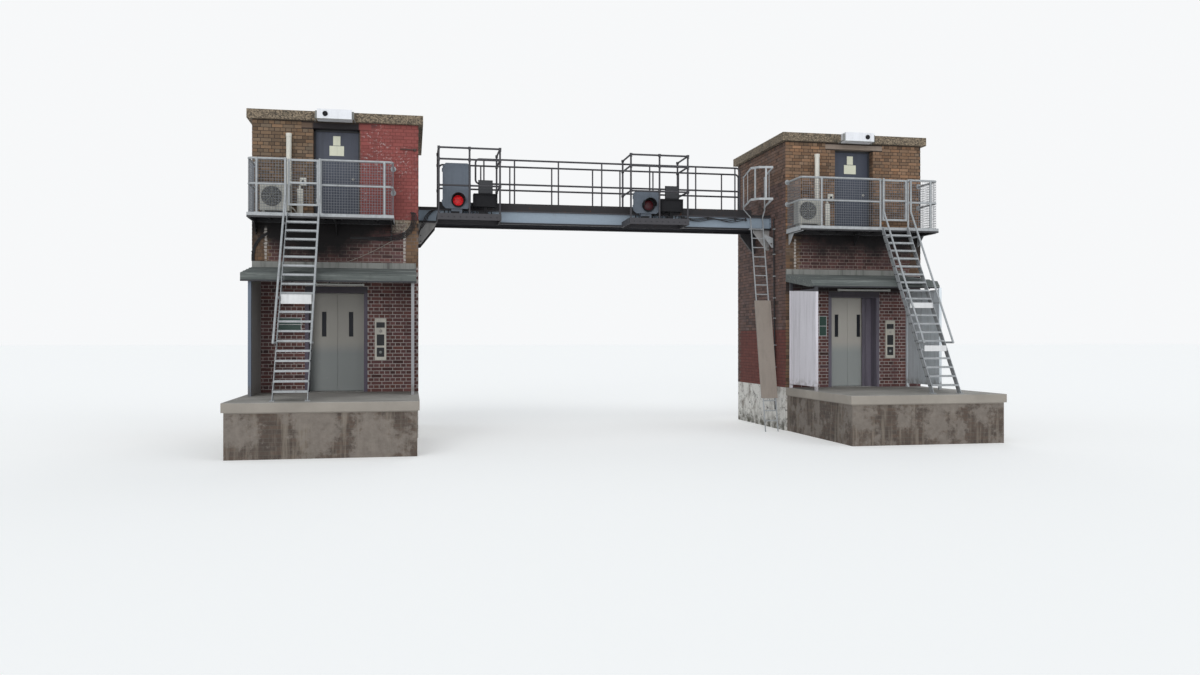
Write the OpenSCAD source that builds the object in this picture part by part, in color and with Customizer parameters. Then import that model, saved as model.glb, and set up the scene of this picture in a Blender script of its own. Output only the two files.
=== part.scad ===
// Two brick lift towers beside the tracks, joined by a steel signal gantry. The ground between the
// towers is z = 0, the front walls stand on y = 0 and x = 0 is midway between the towers.

/* [Towers] */
// Distance from the middle of the gantry to the middle of a tower
tower_center = 5880; // [5600:10:6200]
// Width and depth of a tower
tower_w = 3400; // [3200:10:3600]
tower_d = 3300; // [3100:10:3500]
// Thickness of the brick walls
wall_t = 330; // [215:5:440]
// Height of the lift landing above the ground
landing_z = 1000; // [800:10:1200]
// Height of the motor room floor above the ground
upper_z = 4660; // [4500:10:4800]
// Height of the roof edge above the ground
roof_top = 6900; // [6800:10:7200]
// Height and overhang of the concrete roof band
band_h = 190; // [150:5:250]
band_out = 100; // [50:5:150]

/* [Doorways] */
// Clear width and height of the lift doorway
lift_w = 1130; // [1000:10:1300]
lift_h = 2100; // [2000:10:2200]
// Width and height of the motor room doorway
upper_door_w = 960; // [800:10:1050]
upper_door_h = 1910; // [1850:10:1930]
// Thickness of a lift door leaf
leaf_t = 40; // [30:1:60]

/* [Canopies] */
// How far a canopy stands out from the wall
canopy_out = 1450; // [1300:10:1500]
// How much further the lower edge of the right canopy stands out
canopy_nose = 90; // [0:10:100]
// Height of a canopy at the wall and at its front edge
canopy_back_z = 3730; // [3600:10:3900]
canopy_front_z = 3405; // [3300:5:3450]

/* [Balconies] */
// How far a balcony stands out from the wall
balcony_out = 850; // [800:10:1000]
// Height of the handrail above the balcony floor
rail_h = 1090; // [1000:10:1200]
// Diameter of the rail tubes
rail_d = 42; // [34:1:60]

/* [Stairs] */
// Distance from the middle of the gantry to the middle of a stair
stair_center = 6470; // [6400:5:6600]
// Width of a tread
tread_w = 600; // [500:10:640]
// Number of risers in a flight
risers = 20; // [19:1:20]
// Horizontal run of a flight
stair_run = 2150; // [2050:10:2250]

/* [Gantry] */
// Height of the underside of the girders
girder_z = 4750; // [4700:10:4850]
// Depth of a girder and width of its flanges
girder_h = 300; // [250:5:350]
girder_flange = 100; // [80:5:120]
// Middle of the near and of the far girder, from the front walls
girder_near_y = 1000; // [900:10:1100]
girder_far_y = 1950; // [1800:10:2100]
// Width of a signal cage and how far it stands out from the near rail
cage_w = 1390; // [1250:10:1500]
cage_out = 950; // [800:10:1000]

/* [Hidden] */

LEFT = -1;
RIGHT = 1;
wall_top = roof_top - band_h;
lift_head = landing_z + lift_h;
upper_head = upper_z + upper_door_h;
lintel_w = 1430;
lintel_h = 105;
slab_t = 200;
inner_w = tower_w - 2 * wall_t;
leaf_gap = 15;
leaf_w = lift_w / 2 + 20;
frame_t = 75;
header_h = 130;
slit_at = 278;
coping_h = 170;
coping_out = 40;
plate = 12;
canopy_slope = 0.14;
canopy_foot_z = canopy_back_z - 280 - canopy_slope * (canopy_out - 60);
rail_z = upper_z + rail_h;
rail_mid_z = upper_z + 580;
deck_edge_h = 100;
gate_clear = 680;
gate_y = -balcony_out + 20;
gate_bar = 40;
gate_leaf_w = gate_clear - rail_d - 36;
hinge_gap = 8;
hinge_y = gate_y + gate_bar / 2;
gate_z = upper_z + 150;
hinge_z = [gate_z + 100, gate_z + 780];
hinge_h = 60;
riser_h = (upper_z - landing_z) / risers;
stair_rise = upper_z - landing_z;
stair_top_y = -balcony_out;
string_w = 145;
string_t = 12;
string_lead = 60;
stair_slope = stair_rise / stair_run;
stair_foot_y = stair_top_y - string_lead - stair_run;
stair_rail_end_z = landing_z + 1050;
deck_z = girder_z + girder_h;
gantry_deck_t = 50;
deck_top = deck_z + gantry_deck_t;
gantry_rail_z = deck_top + 1130;
gantry_mid_z = gantry_rail_z - 560;
gantry_end = tower_center - tower_w / 2;
near_rail_y = girder_near_y + 40;
far_rail_y = girder_far_y - 40;
cage_x = [-3080, 1200];
cage_frame_h = 140;
cage_floor_z = deck_z - 330;
cage_deck_z = cage_floor_z + cage_frame_h;
cage_top_z = gantry_rail_z + 60;
cage_post_y = near_rail_y - cage_out + 30;
cage_back_y = near_rail_y - 55;
cage_levels = [cage_deck_z + 610, cage_top_z - 250, cage_top_z];
tube_d = 42;
clamp = 56;
ladder_x = 3785;
ladder_w = 290;
ladder_top_x = [3460, 3990];
ladder_top_y = girder_near_y - girder_flange / 2 - 100;
ladder_lean = 0.2;
ladder_knee_z = deck_z - 60;
stile_t = 12;

function tower_x(side) = side * tower_center;
function balcony_x(side) = side == LEFT ? [-7560, -4680] : [4195, 7560];

function string_front(z) = stair_top_y - string_lead - (upper_z - z) / stair_slope;
function canopy_x(side) = side == LEFT ? [-1700, 1650] : [-1700, 1300];
function screen_x(side) = side == LEFT ? [-7420, -4300] : [4240, 7150];
function screen_front(side) = side == LEFT ? -1360 : -1620;
function around(middle, half) = [middle - half, middle + half];
function cage_posts(i) = [cage_x[i] - cage_w / 2 + 30, cage_x[i], cage_x[i] + cage_w / 2 - 30];

module bar(a, b, d) {
    run = b - a;
    translate(a)
        rotate([0, acos(run.z / norm(run)), atan2(run.y, run.x)])
            cylinder(h = norm(run), d = d, $fn = 24);
}

// Where a bend of radius r round the corner p[i] starts and ends
function bend_reach(p, i, r) =
    let (a = unit(p[i - 1] - p[i]), b = unit(p[i + 1] - p[i])) r / tan(acos(a * b) / 2);
function unit(v) = v / norm(v);

// A quarter or any other part of a ring that joins two straight stretches of tube
module elbow(from, corner, to, d, r) {
    a = unit(from - corner);
    b = unit(to - corner);
    turn = acos(a * b);
    middle = corner + unit(a + b) * r / sin(turn / 2);
    x = unit(corner + a * r / tan(turn / 2) - middle);
    z = unit(cross(x, -a));
    y = cross(z, x);
    multmatrix([[x.x, y.x, z.x, middle.x], [x.y, y.y, z.y, middle.y], [x.z, y.z, z.z, middle.z], [0, 0, 0, 1]])
        rotate_extrude(angle = 180 - turn, $fn = 48) translate([r, 0]) circle(d = d, $fn = 24);
}

module pipe(points, d, r = 90) {
    last = len(points) - 1;
    for (i = [0 : last - 1]) {
        run = unit(points[i + 1] - points[i]);
        start = i == 0 ? 0 : bend_reach(points, i, r);
        end = i == last - 1 ? 0 : bend_reach(points, i + 1, r);
        bar(points[i] + run * start, points[i + 1] - run * end, d);
    }
    if (last > 1)
        for (i = [1 : last - 1]) elbow(points[i - 1], points[i], points[i + 1], d, r);
}

// Straight stretches of tube that meet in ball fittings, for runs that slope
module fitted_pipe(points, d) {
    for (i = [0 : len(points) - 2]) bar(points[i], points[i + 1], d);
    for (i = [1 : len(points) - 2]) translate(points[i]) sphere(d = d + 4, $fn = 24);
}

module slab(x, y, z) {
    translate([x[0], y[0], z[0]]) cube([x[1] - x[0], y[1] - y[0], z[1] - z[0]]);
}

// Tower walls, floors and roofs

module tower_bases() {
    for (side = [LEFT, RIGHT])
        color("gainsboro")
            slab(around(tower_x(side), tower_w / 2), [0, tower_d], [0, landing_z]);
}

module side_walls(side) {
    for (edge = [-1, 1])
        color("sienna") translate([tower_x(side) + edge * (tower_w - wall_t) / 2 - wall_t / 2, 0, landing_z])
            cube([wall_t, tower_d, wall_top - landing_z]);
}

module back_wall(side) {
    color("sienna")
        slab(around(tower_x(side), inner_w / 2), [tower_d - wall_t, tower_d], [landing_z, wall_top]);
}

module front_piers(side) {
    near = lift_w / 2 + frame_t;
    for (edge = [-1, 1])
        color("sienna") translate([tower_x(side), 0, 0]) difference() {
            slab(edge > 0 ? [near, inner_w / 2] : [-inner_w / 2, -near], [0, wall_t], [landing_z, wall_top]);
            slab([-1, 1] * lintel_w / 2, [-1, wall_t + 1], [upper_head, upper_head + lintel_h]);
        }
}

module front_spandrels(side) {
    half = lift_w / 2 + frame_t;
    color("firebrick") translate([tower_x(side), 0, 0]) difference() {
        slab([-half, half], [0, wall_t], [lift_head + header_h, upper_head]);
        slab([-1, 1] * upper_door_w / 2, [-1, wall_t + 1], [upper_z, upper_head + 1]);
    }
    color("firebrick") translate([tower_x(side), 0, 0])
        slab([-half, half], [0, wall_t], [upper_head + lintel_h, wall_top]);
}

module door_lintels() {
    for (side = [LEFT, RIGHT]) color("darkgray") translate([tower_x(side), 0, 0])
        slab([-1, 1] * lintel_w / 2, [0, wall_t], [upper_head, upper_head + lintel_h]);
}

module motor_room_floors() {
    for (side = [LEFT, RIGHT])
        color("silver") translate([tower_x(side), 0, 0])
            slab([-inner_w / 2, inner_w / 2], [wall_t, tower_d - wall_t], [upper_z - slab_t, upper_z]);
}

module roof(side) {
    color("tan") translate([tower_x(side), 0, 0])
        difference() {
            slab([-1, 1] * (tower_w / 2 + band_out), [-band_out, tower_d + band_out], [wall_top, roof_top]);
            slab([-1, 1] * (tower_w / 2 - 150), [150, tower_d - 150], [roof_top - 50, roof_top + 1]);
        }
}

// Doorways

module lift_door_frames() {
    for (side = [LEFT, RIGHT]) color("indigo") translate([tower_x(side), 0, 0])
        difference() {
            slab([-1, 1] * (lift_w / 2 + frame_t), [-10, wall_t], [landing_z, lift_head + header_h]);
            slab([-1, 1] * lift_w / 2, [-20, wall_t + 10], [landing_z - 1, lift_head]);
        }
    color("indigo") translate([tower_x(RIGHT), 0, 0]) {
        slab([343, lift_w / 2], [wall_t - 60, wall_t - 20], [landing_z, lift_head]);
        for (x = [390, 425]) slab([x, x + 12], [wall_t - 75, wall_t - 60], [landing_z, lift_head]);
    }
    for (side = [LEFT, RIGHT]) color("dimgray") translate([tower_x(side), 0, 0])
        slab([-leaf_w - lift_w / 2, leaf_w + lift_w / 2], [wall_t, wall_t + 70], [lift_head + 35, lift_head + 135]);
}

module lift_leaf(side, hand) {
    color("silver") translate([tower_x(side) + (hand > 0 ? 2 : -2 - leaf_w), wall_t + leaf_gap, 0])
        difference() {
            slab([0, leaf_w], [0, leaf_t], [landing_z + 10, lift_head + 30]);
            slab(around(hand > 0 ? slit_at : leaf_w - slit_at, 47), [-1, leaf_t + 1],
                [landing_z + 1170, lift_head - 390]);
        }
}

module motor_room_doors() {
    for (side = [LEFT, RIGHT]) color("darkslategray")
        translate([tower_x(side) - upper_door_w / 2, 190, upper_z]) cube([upper_door_w, 45, upper_door_h]);
}

module call_panels() {
    for (side = [LEFT, RIGHT]) color("ivory")
        translate([tower_x(side) + 790, -30, landing_z + 670]) difference() {
            cube([240, 30, 890]);
            for (window = [[40, 70, 200], [40, 310, 240], [30, 690, 120]])
                translate([window[0], -1, window[1]]) cube([240 - 2 * window[0], 9, window[2]]);
        }
}

module landing(side) {
    front = -tower_d - band_out;
    color("lightgray") translate([tower_x(side), 0, 0]) {
        slab([-1, 1] * (tower_w / 2 - coping_out), [front + coping_out, 0], [0, landing_z - coping_h]);
        slab([-1, 1] * tower_w / 2, [front, 0], [landing_z - coping_h, landing_z]);
    }
}

// Canopies and screens

module canopy(side) {
    nose = side == LEFT ? 0 : canopy_nose;
    x = canopy_x(side);
    color("slategray") translate([tower_x(side) + x[0], 0, 0]) rotate([90, 0, 90])
        linear_extrude(x[1] - x[0]) polygon([
            [0, canopy_back_z - 280], [0, canopy_back_z], [-30, canopy_back_z], [-30, canopy_back_z - 110],
            [-canopy_out + 40, canopy_front_z + 8], [-canopy_out, canopy_front_z],
            [-canopy_out - nose, canopy_front_z - 105], [-canopy_out - nose, canopy_foot_z + 10],
            [-canopy_out - nose + 50, canopy_foot_z], [-canopy_out + 60, canopy_foot_z],
        ]);
}

function canopy_under(y) = max(canopy_foot_z, canopy_back_z - 280 + canopy_slope * y);

module upright(x, y) {
    translate([x[0], 0, 0]) rotate([90, 0, 90]) linear_extrude(x[1] - x[0])
        polygon([[y[0], landing_z], [y[1], landing_z], [y[1], canopy_under(y[1])], [y[0], canopy_under(y[0])]]);
}

module screens(side) {
    front = screen_front(side);
    for (i = [0, 1]) {
        face = screen_x(side)[i];
        color("gray") upright(around(face, 30), [front, front + 60]);
        if (side == LEFT)
            color("whitesmoke") upright(around(face, 20), [front + 60, -10]);
        else {
            color("gray") upright(around(face, 30), [-210, -150]);
            color("whitesmoke") slab(around(face, 20), [front + 60, -210], [landing_z + 90, canopy_front_z - 190]);
        }
    }
}

// Balconies, gates and stairs

module balcony_deck(side) {
    x = balcony_x(side);
    color("gray") difference() {
        slab(x, [-balcony_out, 0], [upper_z - deck_edge_h, upper_z]);
        slab([x[0] + 10, x[1] - 10], [10 - balcony_out, -10], [upper_z - deck_edge_h - 1, upper_z - 20]);
    }
    for (at = [x[0] + 60, side * tower_center, x[1] - 60])
        color("gray") translate([at - 5, 0, upper_z - 20]) rotate([90, 0, 90]) linear_extrude(10) polygon([
            [0, 0], [0, -330], [-60, -330], [-300, -deck_edge_h], [10 - balcony_out, -deck_edge_h],
            [10 - balcony_out, 0],
        ]);
}

module balcony_rails(side) {
    x = balcony_x(side);
    y = -balcony_out + 25;
    gate = around(side * stair_center, gate_clear / 2);
    color("silver") for (z = [rail_mid_z, rail_z]) {
        pipe([[x[0] + 25, 0, z], [x[0] + 25, y, z], [gate[0], y, z]], rail_d);
        pipe([[gate[1], y, z], [x[1] - 25, y, z], [x[1] - 25, 0, z]], rail_d);
    }
    for (at = [side == LEFT ? x[0] + 190 : 4705, gate[0], gate[1], x[1] - 190])
        color("silver") bar([at, y, upper_z], [at, y, rail_z], rail_d);
    for (z = hinge_z) color("silver") translate([gate[1] - rail_d / 2 - hinge_gap, hinge_y, z]) {
        translate([0, 0, -9]) cylinder(h = hinge_h + 18, r = 3, $fn = 24);
        for (lug = [-9, hinge_h + 1]) translate([0, 0, lug]) {
            cylinder(h = 8, r = 4, $fn = 24);
            translate([0, -4, 0]) cube([hinge_gap + rail_d / 2, 8, 8]);
        }
    }
}

module gate(side) {
    edge = gate_clear / 2 - rail_d / 2;
    color("lightgray") translate([side * stair_center, hinge_y, 0]) difference() {
        union() {
            translate([-gate_leaf_w / 2, -gate_bar, gate_z]) difference() {
                cube([gate_leaf_w, gate_bar, 940]);
                translate([gate_bar, -1, gate_bar]) cube([gate_leaf_w - 2 * gate_bar, gate_bar + 2, 400]);
                translate([gate_bar, -1, 480]) cube([gate_leaf_w - 2 * gate_bar, gate_bar + 2, 420]);
            }
            for (z = hinge_z) translate([edge - hinge_gap, 0, z]) {
                cylinder(h = hinge_h, r = 6, $fn = 24);
                translate([-60, 0, 0]) cube([60, 6, hinge_h]);
            }
        }
        for (z = hinge_z) translate([edge - hinge_gap, 0, z - 1]) cylinder(h = hinge_h + 2, r = 3.5, $fn = 24);
    }
}

module stair_strings(side) {
    for (edge = [-1, 1])
        color("silver")
            translate([side * stair_center + edge * (tread_w + string_t) / 2 - string_t / 2, 0, 0])
                rotate([90, 0, 90]) linear_extrude(string_t) polygon([
                    [stair_top_y, upper_z], [string_front(upper_z), upper_z],
                    [string_front(landing_z), landing_z], [string_front(landing_z) + string_w, landing_z],
                    [stair_top_y, upper_z - (string_w - string_lead) * stair_slope],
                ]);
}

module stair_treads(side) {
    for (i = [1 : risers - 1]) {
        z = landing_z + i * riser_h;
        depth = string_w + 20;
        color("silver") translate([side * stair_center - tread_w / 2, string_front(z) - 20, z]) rotate([90, 0, 90])
            linear_extrude(tread_w) polygon([
                [0, 0], [0, -35], [5, -35], [5, -5], [depth - 5, -5], [depth - 5, -35], [depth, -35], [depth, 0],
            ]);
    }
}

module stair_rails(side) {
    out = 260;
    bend_z = rail_z - 740;
    for (edge = [-1, 1]) {
        face = side * stair_center + edge * (tread_w / 2 + string_t);
        x = face + edge * rail_d / 2;
        color("silver") fitted_pipe([
            [x, string_front(bend_z) - out, rail_z], [x, string_front(bend_z) - out, bend_z],
            [x, string_front(stair_rail_end_z) - out, stair_rail_end_z],
            [x, string_front(stair_rail_end_z) + 40, stair_rail_end_z],
        ], rail_d);
        for (z = [landing_z + 1900, upper_z - 250])
            color("silver") slab(edge > 0 ? [face, face + 8] : [face - 8, face],
                [string_front(z) - out, string_front(z) + 60], [z - 20, z + 20]);
        color("silver")
            bar([x, string_front(bend_z) - out, rail_z - 40], [x, gate_y + 5 - rail_d / 2, rail_z - 40], 30);
    }
}

// Fittings

module floodlights() {
    for (side = [LEFT, RIGHT]) {
        x = tower_x(side) - 20;
        color("white") slab(around(x, 350), [-band_out - 260, -band_out], [roof_top - 210, roof_top]);
    }
}

module air_conditioners() {
    for (x = [-7370, 4320])
        color("ivory") translate([x, -420, upper_z]) {
            translate([0, 0, 100]) difference() {
                cube([580, 280, 540]);
                translate([235, 25, 290]) rotate([90, 0, 0]) cylinder(h = 30, r = 205, $fn = 48);
            }
            for (foot = [40, 480]) translate([foot, 20, 0]) cube([60, 240, 100]);
        }
}

module vent_pipes() {
    for (x = [-6840, 4930]) color("white") {
        translate([x, -65, upper_z]) cylinder(h = 1760, d = 110, $fn = 32);
        for (z = [60, 900, 1690]) translate([x, -65, upper_z + z]) cylinder(h = 70, d = 124, $fn = 32);
    }
}

// Gantry

module i_beam(length) {
    web = 10;
    color("lightsteelblue") rotate([90, 0, 90]) linear_extrude(length) {
        translate([-girder_flange / 2, 0]) square([girder_flange, 15]);
        translate([-girder_flange / 2, girder_h - 15]) square([girder_flange, 15]);
        translate([-web / 2, 0]) square([web, girder_h]);
    }
}

module gantry_girders() {
    for (y = [girder_near_y, girder_far_y])
        translate([-gantry_end, y, girder_z]) i_beam(2 * gantry_end);
    for (end = [-gantry_end, gantry_end - 12], y = [girder_near_y, girder_far_y])
        color("lightsteelblue") translate([end, y - 90, girder_z]) cube([12, 180, girder_h]);
}

module cross_beams() {
    for (i = [0 : 6])
        color("slategray") translate([-3900 + i * 1300, girder_near_y + 5, girder_z + 140]) rotate([90, 0, 90])
            linear_extrude(60) polygon([[0, 0], [girder_far_y - girder_near_y - 10, 0],
                [girder_far_y - girder_near_y - 10, 120], [0, 120]]);
}

module gantry_brackets() {
    for (side = [LEFT, RIGHT], y = [girder_near_y, girder_far_y])
        color("slategray") translate([side * gantry_end, y + 30, girder_z]) rotate([90, 0, 0])
            mirror([0, 0, 1]) linear_extrude(60)
                polygon([[0, 0], [-side * 400, 0], [-side * 400, -50], [-side * 60, -480], [0, -480]]);
}

module gantry_deck() {
    color("dimgray")
        slab([-gantry_end, gantry_end], [girder_near_y - 50, girder_far_y + 50], [deck_z, deck_top]);
    for (y = [girder_near_y - 50, girder_far_y + 40])
        color("dimgray") translate([0, y, deck_top]) slab([-3700, 3700], [0, 10], [0, 120]);
}

module gantry_rails() {
    near = [-2890, 3430];
    far = [-3690, 3700];
    color("dimgray") {
        pipe([
            [near[1], near_rail_y, gantry_mid_z], [near[0], near_rail_y, gantry_mid_z],
            [near[0], near_rail_y, gantry_rail_z], [near[1], near_rail_y, gantry_rail_z],
            [near[1], near_rail_y, deck_top],
        ], tube_d);
        pipe([
            [far[0], far_rail_y, deck_top], [far[0], far_rail_y, gantry_rail_z],
            [far[1], far_rail_y, gantry_rail_z], [far[1], far_rail_y, deck_top],
        ], tube_d);
        bar([far[0], far_rail_y, gantry_mid_z], [far[1], far_rail_y, gantry_mid_z], tube_d);
    }
}

// A post stands on the deck in two lengths, below and above the middle rail
module gantry_posts() {
    near = [-2700, -2000, -980, 45, 1200, 2330, 3310];
    far = [-2710, -2020, -1010, -10, 670, 1500, 2150, 3260];
    color("dimgray") {
        for (x = near) split_post(x, near_rail_y);
        for (x = far) split_post(x, far_rail_y);
    }
}

module split_post(x, y) {
    bar([x, y, deck_top], [x, y, gantry_mid_z - tube_d / 2], 34);
    bar([x, y, gantry_mid_z + tube_d / 2], [x, y, gantry_rail_z - tube_d / 2], 34);
}

// A tube that stands upright with a square clamp at each rail
module clamped_post(x, y, z) {
    bar([x, y, z], [x, y, cage_top_z], tube_d);
    for (level = cage_levels) translate([x, y, level]) cube(clamp, center = true);
}

module signal_cage(i) {
    x = around(cage_x[i], cage_w / 2);
    back = girder_near_y - girder_flange / 2;
    color("dimgray") {
        difference() {
            slab(x, [cage_post_y - 30, back], [cage_floor_z, cage_deck_z]);
            slab([x[0] + 10, x[1] - 10], [cage_post_y - 20, back - 10], [cage_floor_z - 1, cage_deck_z - 20]);
        }
        for (at = cage_posts(i)) clamped_post(at, cage_post_y, cage_deck_z - 5);
        for (at = [cage_posts(i)[0], cage_posts(i)[2]]) clamped_post(at, cage_back_y, deck_top);
    }
}

module cage_rails(i) {
    at = cage_posts(i);
    color("dimgray") for (z = cage_levels) {
        for (k = [0, 1])
            bar([at[k] + clamp / 2, cage_post_y, z], [at[k + 1] - clamp / 2, cage_post_y, z], tube_d);
        for (x = [at[0], at[2]])
            bar([x, cage_post_y + clamp / 2, z], [x, cage_back_y - clamp / 2, z], tube_d);
    }
}

module signal_heads() {
    for (head = [[-3340, 1010], [985, 530]]) {
        color("slategray") translate([head[0], 480, deck_z - 40]) rotate([90, 0, 0]) translate([0, 0, -25])
            linear_extrude(25) polygon([
                [-310, 70], [-240, 0], [240, 0], [310, 70],
                [310, head[1] - 70], [240, head[1]], [-240, head[1]], [-310, head[1] - 70],
            ]);
        color("dimgray") translate([head[0] - 120, 505, cage_deck_z]) cube([240, 200, 500]);
    }
}

// A round sleeve with a long half over it that shades the lens
module signal_hoods() {
    for (lens = [[-3310, 5190], [1030, 5200]])
        color("black") translate([lens[0], 480, lens[1]]) rotate([90, 0, 0]) difference() {
            cylinder(h = 230, r = 150, $fn = 48);
            translate([0, 0, -1]) cylinder(h = 232, r = 142, $fn = 48);
            translate([-160, -160, 40]) cube([320, 130, 200]);
        }
}

module indicator_boxes() {
    for (i = [0, 1]) {
        x = cage_x[i] + 370;
        color("black") translate([x - 265, 400, deck_z + 10]) cube([530, 250, 290]);
        color("black") translate([x - 160, 420, deck_z + 300]) cube([320, 20, 300]);
        color("dimgray") translate([x - 40, 450, cage_deck_z]) cube([80, 120, deck_z + 10 - cage_deck_z]);
    }
}

function ladder_y(z) = ladder_top_y - ladder_lean * (ladder_knee_z - z);

// A plate that leans with the ladder, from dy[0] to dy[1] behind the line of its rungs
module leaning(x, z, dy) {
    translate([x[0], 0, 0]) rotate([90, 0, 90]) linear_extrude(x[1] - x[0]) polygon([
        [ladder_y(z[0]) + dy[0], z[0]], [ladder_y(z[0]) + dy[1], z[0]],
        [ladder_y(z[1]) + dy[1], z[1]], [ladder_y(z[1]) + dy[0], z[1]],
    ]);
}

module access_ladder() {
    for (edge = [-1, 1])
        color("silver") leaning(
            around(ladder_x + edge * (ladder_w + stile_t) / 2, stile_t / 2), [0, ladder_knee_z], [-25, 25]);
}

module ladder_rungs() {
    for (z = [250 : 225 : ladder_knee_z - 100])
        color("silver") bar([ladder_x - ladder_w / 2, ladder_y(z), z], [ladder_x + ladder_w / 2, ladder_y(z), z], 25);
}

// The stiles spread above the deck so that a person can step through between them
module ladder_grab_rails() {
    for (i = [0, 1]) {
        low = ladder_x + (i - 0.5) * (ladder_w + stile_t);
        high = ladder_top_x[i];
        line = [[low, ladder_knee_z], [low, ladder_knee_z + 40], [high, deck_z + 160], [high, gantry_rail_z - 220]];
        color("silver") translate([0, ladder_top_y + 25, 0]) rotate([90, 0, 0]) linear_extrude(50)
            polygon(concat([for (k = [0 : 3]) moved(line, k, -stile_t / 2)],
                [for (k = [3 : -1 : 0]) moved(line, k, stile_t / 2)]));
    }
}

module ladder_clips() {
    z = [girder_z - 10, girder_z + 25];
    for (edge = [-1, 1])
        color("silver") translate([ladder_x + edge * (ladder_w + stile_t) / 2 - 5, 0, 0]) rotate([90, 0, 90])
            linear_extrude(10) polygon([
                [ladder_y(z[0]) + 25, z[0]], [girder_near_y - girder_flange / 2, z[0]],
                [girder_near_y - girder_flange / 2, z[1]], [ladder_y(z[1]) + 25, z[1]],
            ]);
    right = ladder_x + ladder_w / 2 + stile_t;
    color("wheat") translate([0, ladder_y(4500) + 5, 0]) rotate([90, 0, 0]) linear_extrude(10) difference() {
        polygon([[right, 4625], [gantry_end, 4530], [gantry_end, 4310], [gantry_end - 45, 4300], [right, 4560]]);
        translate([gantry_end - 60, 4400]) circle(d = 40, $fn = 24);
    }
}

// Unit vector to the left of the way from a to b, and a bent line moved to its left by t
function left_of(a, b) = let (run = unit(b - a)) [-run.y, run.x];
function moved(line, i, t) =
    let (before = left_of(line[max(i - 1, 0)], line[max(i, 1)]),
        after = left_of(line[min(i, len(line) - 2)], line[min(i + 1, len(line) - 1)]),
        way = unit(before + after))
    line[i] + way * t / (way * after);

module ladder_hoops() {
    t = 8;
    left = ladder_top_x[0] - stile_t / 2 - t;
    right = ladder_top_x[1] - stile_t / 2;
    line = [[left, ladder_top_y + 20], [left, ladder_top_y - 60], [left - 250, -370], [3330, -550], [3640, -610],
        [right - 110, ladder_top_y - 400], [right, ladder_top_y - 60], [right, ladder_top_y + 20]];
    low = deck_z + 195;
    high = gantry_rail_z - 275;
    inner = [for (i = [len(line) - 1 : -1 : 0]) moved(line, i, t)];
    color("silver") for (z = [low, high]) translate([0, 0, z]) linear_extrude(50) polygon(concat(line, inner));
    for (i = [1 : 4]) {
        run = line[i + 1] - line[i];
        color("silver") translate(concat(line[i] + run / 2, low)) rotate([0, 0, atan2(run.y, run.x)])
            translate([-20, t - 1, 0]) cube([40, t, high - low + 50]);
    }
}

// A folded plate over the lower rungs, its edges turned back past the stiles
module climb_guard() {
    z = [760, 3030];
    color("wheat") {
        leaning([ladder_x - 190, ladder_x + 190], z, [-33, -25]);
        for (edge = [-1, 1]) leaning(around(ladder_x + edge * 186, 4), z, [-33, 30]);
    }
}

tower_bases();
side_walls(LEFT);  // left_side_walls
side_walls(RIGHT);  // right_side_walls
back_wall(LEFT);  // left_back_wall
back_wall(RIGHT);  // right_back_wall
front_piers(LEFT);  // left_front_piers
front_piers(RIGHT);  // right_front_piers
front_spandrels(LEFT);  // left_front_spandrels
front_spandrels(RIGHT);  // right_front_spandrels
door_lintels();
motor_room_floors();
roof(LEFT);  // left_roof
roof(RIGHT);  // right_roof
lift_door_frames();
lift_leaf(LEFT, -1);  // left_lift_leaf_a
lift_leaf(LEFT, 1);  // left_lift_leaf_b
lift_leaf(RIGHT, -1);  // right_lift_leaf_a
lift_leaf(RIGHT, 1);  // right_lift_leaf_b
motor_room_doors();
call_panels();
landing(LEFT);  // left_landing
landing(RIGHT);  // right_landing
canopy(LEFT);  // left_canopy
canopy(RIGHT);  // right_canopy
screens(LEFT);  // left_screens
screens(RIGHT);  // right_screens
balcony_deck(LEFT);  // left_balcony_deck
balcony_deck(RIGHT);  // right_balcony_deck
balcony_rails(LEFT);  // left_balcony_rails
balcony_rails(RIGHT);  // right_balcony_rails
gate(LEFT);  // left_gate
gate(RIGHT);  // right_gate
stair_strings(LEFT);  // left_stair_strings
stair_strings(RIGHT);  // right_stair_strings
stair_treads(LEFT);  // left_stair_treads
stair_treads(RIGHT);  // right_stair_treads
stair_rails(LEFT);  // left_stair_rails
stair_rails(RIGHT);  // right_stair_rails
floodlights();
air_conditioners();
vent_pipes();
gantry_girders();
gantry_brackets();
cross_beams();
gantry_deck();
gantry_rails();
gantry_posts();
signal_cage(0);  // left_signal_cage
signal_cage(1);  // right_signal_cage
cage_rails(0);  // left_cage_rails
cage_rails(1);  // right_cage_rails
signal_heads();
signal_hoods();
indicator_boxes();
access_ladder();
ladder_rungs();
ladder_grab_rails();
ladder_clips();
ladder_hoops();
climb_guard();
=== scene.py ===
"""Finishes for two brick lift towers joined by a steel signal gantry.

The CAD model gives every wall, tube and door its place. Here the walls get real bricks laid in
English bond, the rails get their woven wire, and every surface gets its paint, rust, dust and wear,
with painted shade and painted light on a few of them.
"""

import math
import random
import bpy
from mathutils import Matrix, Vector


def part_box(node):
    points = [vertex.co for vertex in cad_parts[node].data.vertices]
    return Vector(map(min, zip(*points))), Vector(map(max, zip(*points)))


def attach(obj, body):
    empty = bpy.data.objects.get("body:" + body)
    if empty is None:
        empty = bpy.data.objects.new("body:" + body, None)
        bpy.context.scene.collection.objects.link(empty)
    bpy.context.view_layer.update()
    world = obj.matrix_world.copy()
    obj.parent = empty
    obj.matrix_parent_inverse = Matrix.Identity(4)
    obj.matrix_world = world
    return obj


bl_info = {
    "name": "Lift Tower Finishes",
    "version": (1, 0, 0),
    "blender": (4, 5, 0),
    "location": "View3D > Sidebar > Towers",
    "description": "Bricks, wire infill, fittings and weathered paint for two lift towers and a gantry",
    "category": "Object",
}

from contextlib import contextmanager

import bmesh
import bpy
from mathutils import Color, Matrix, Vector

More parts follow.
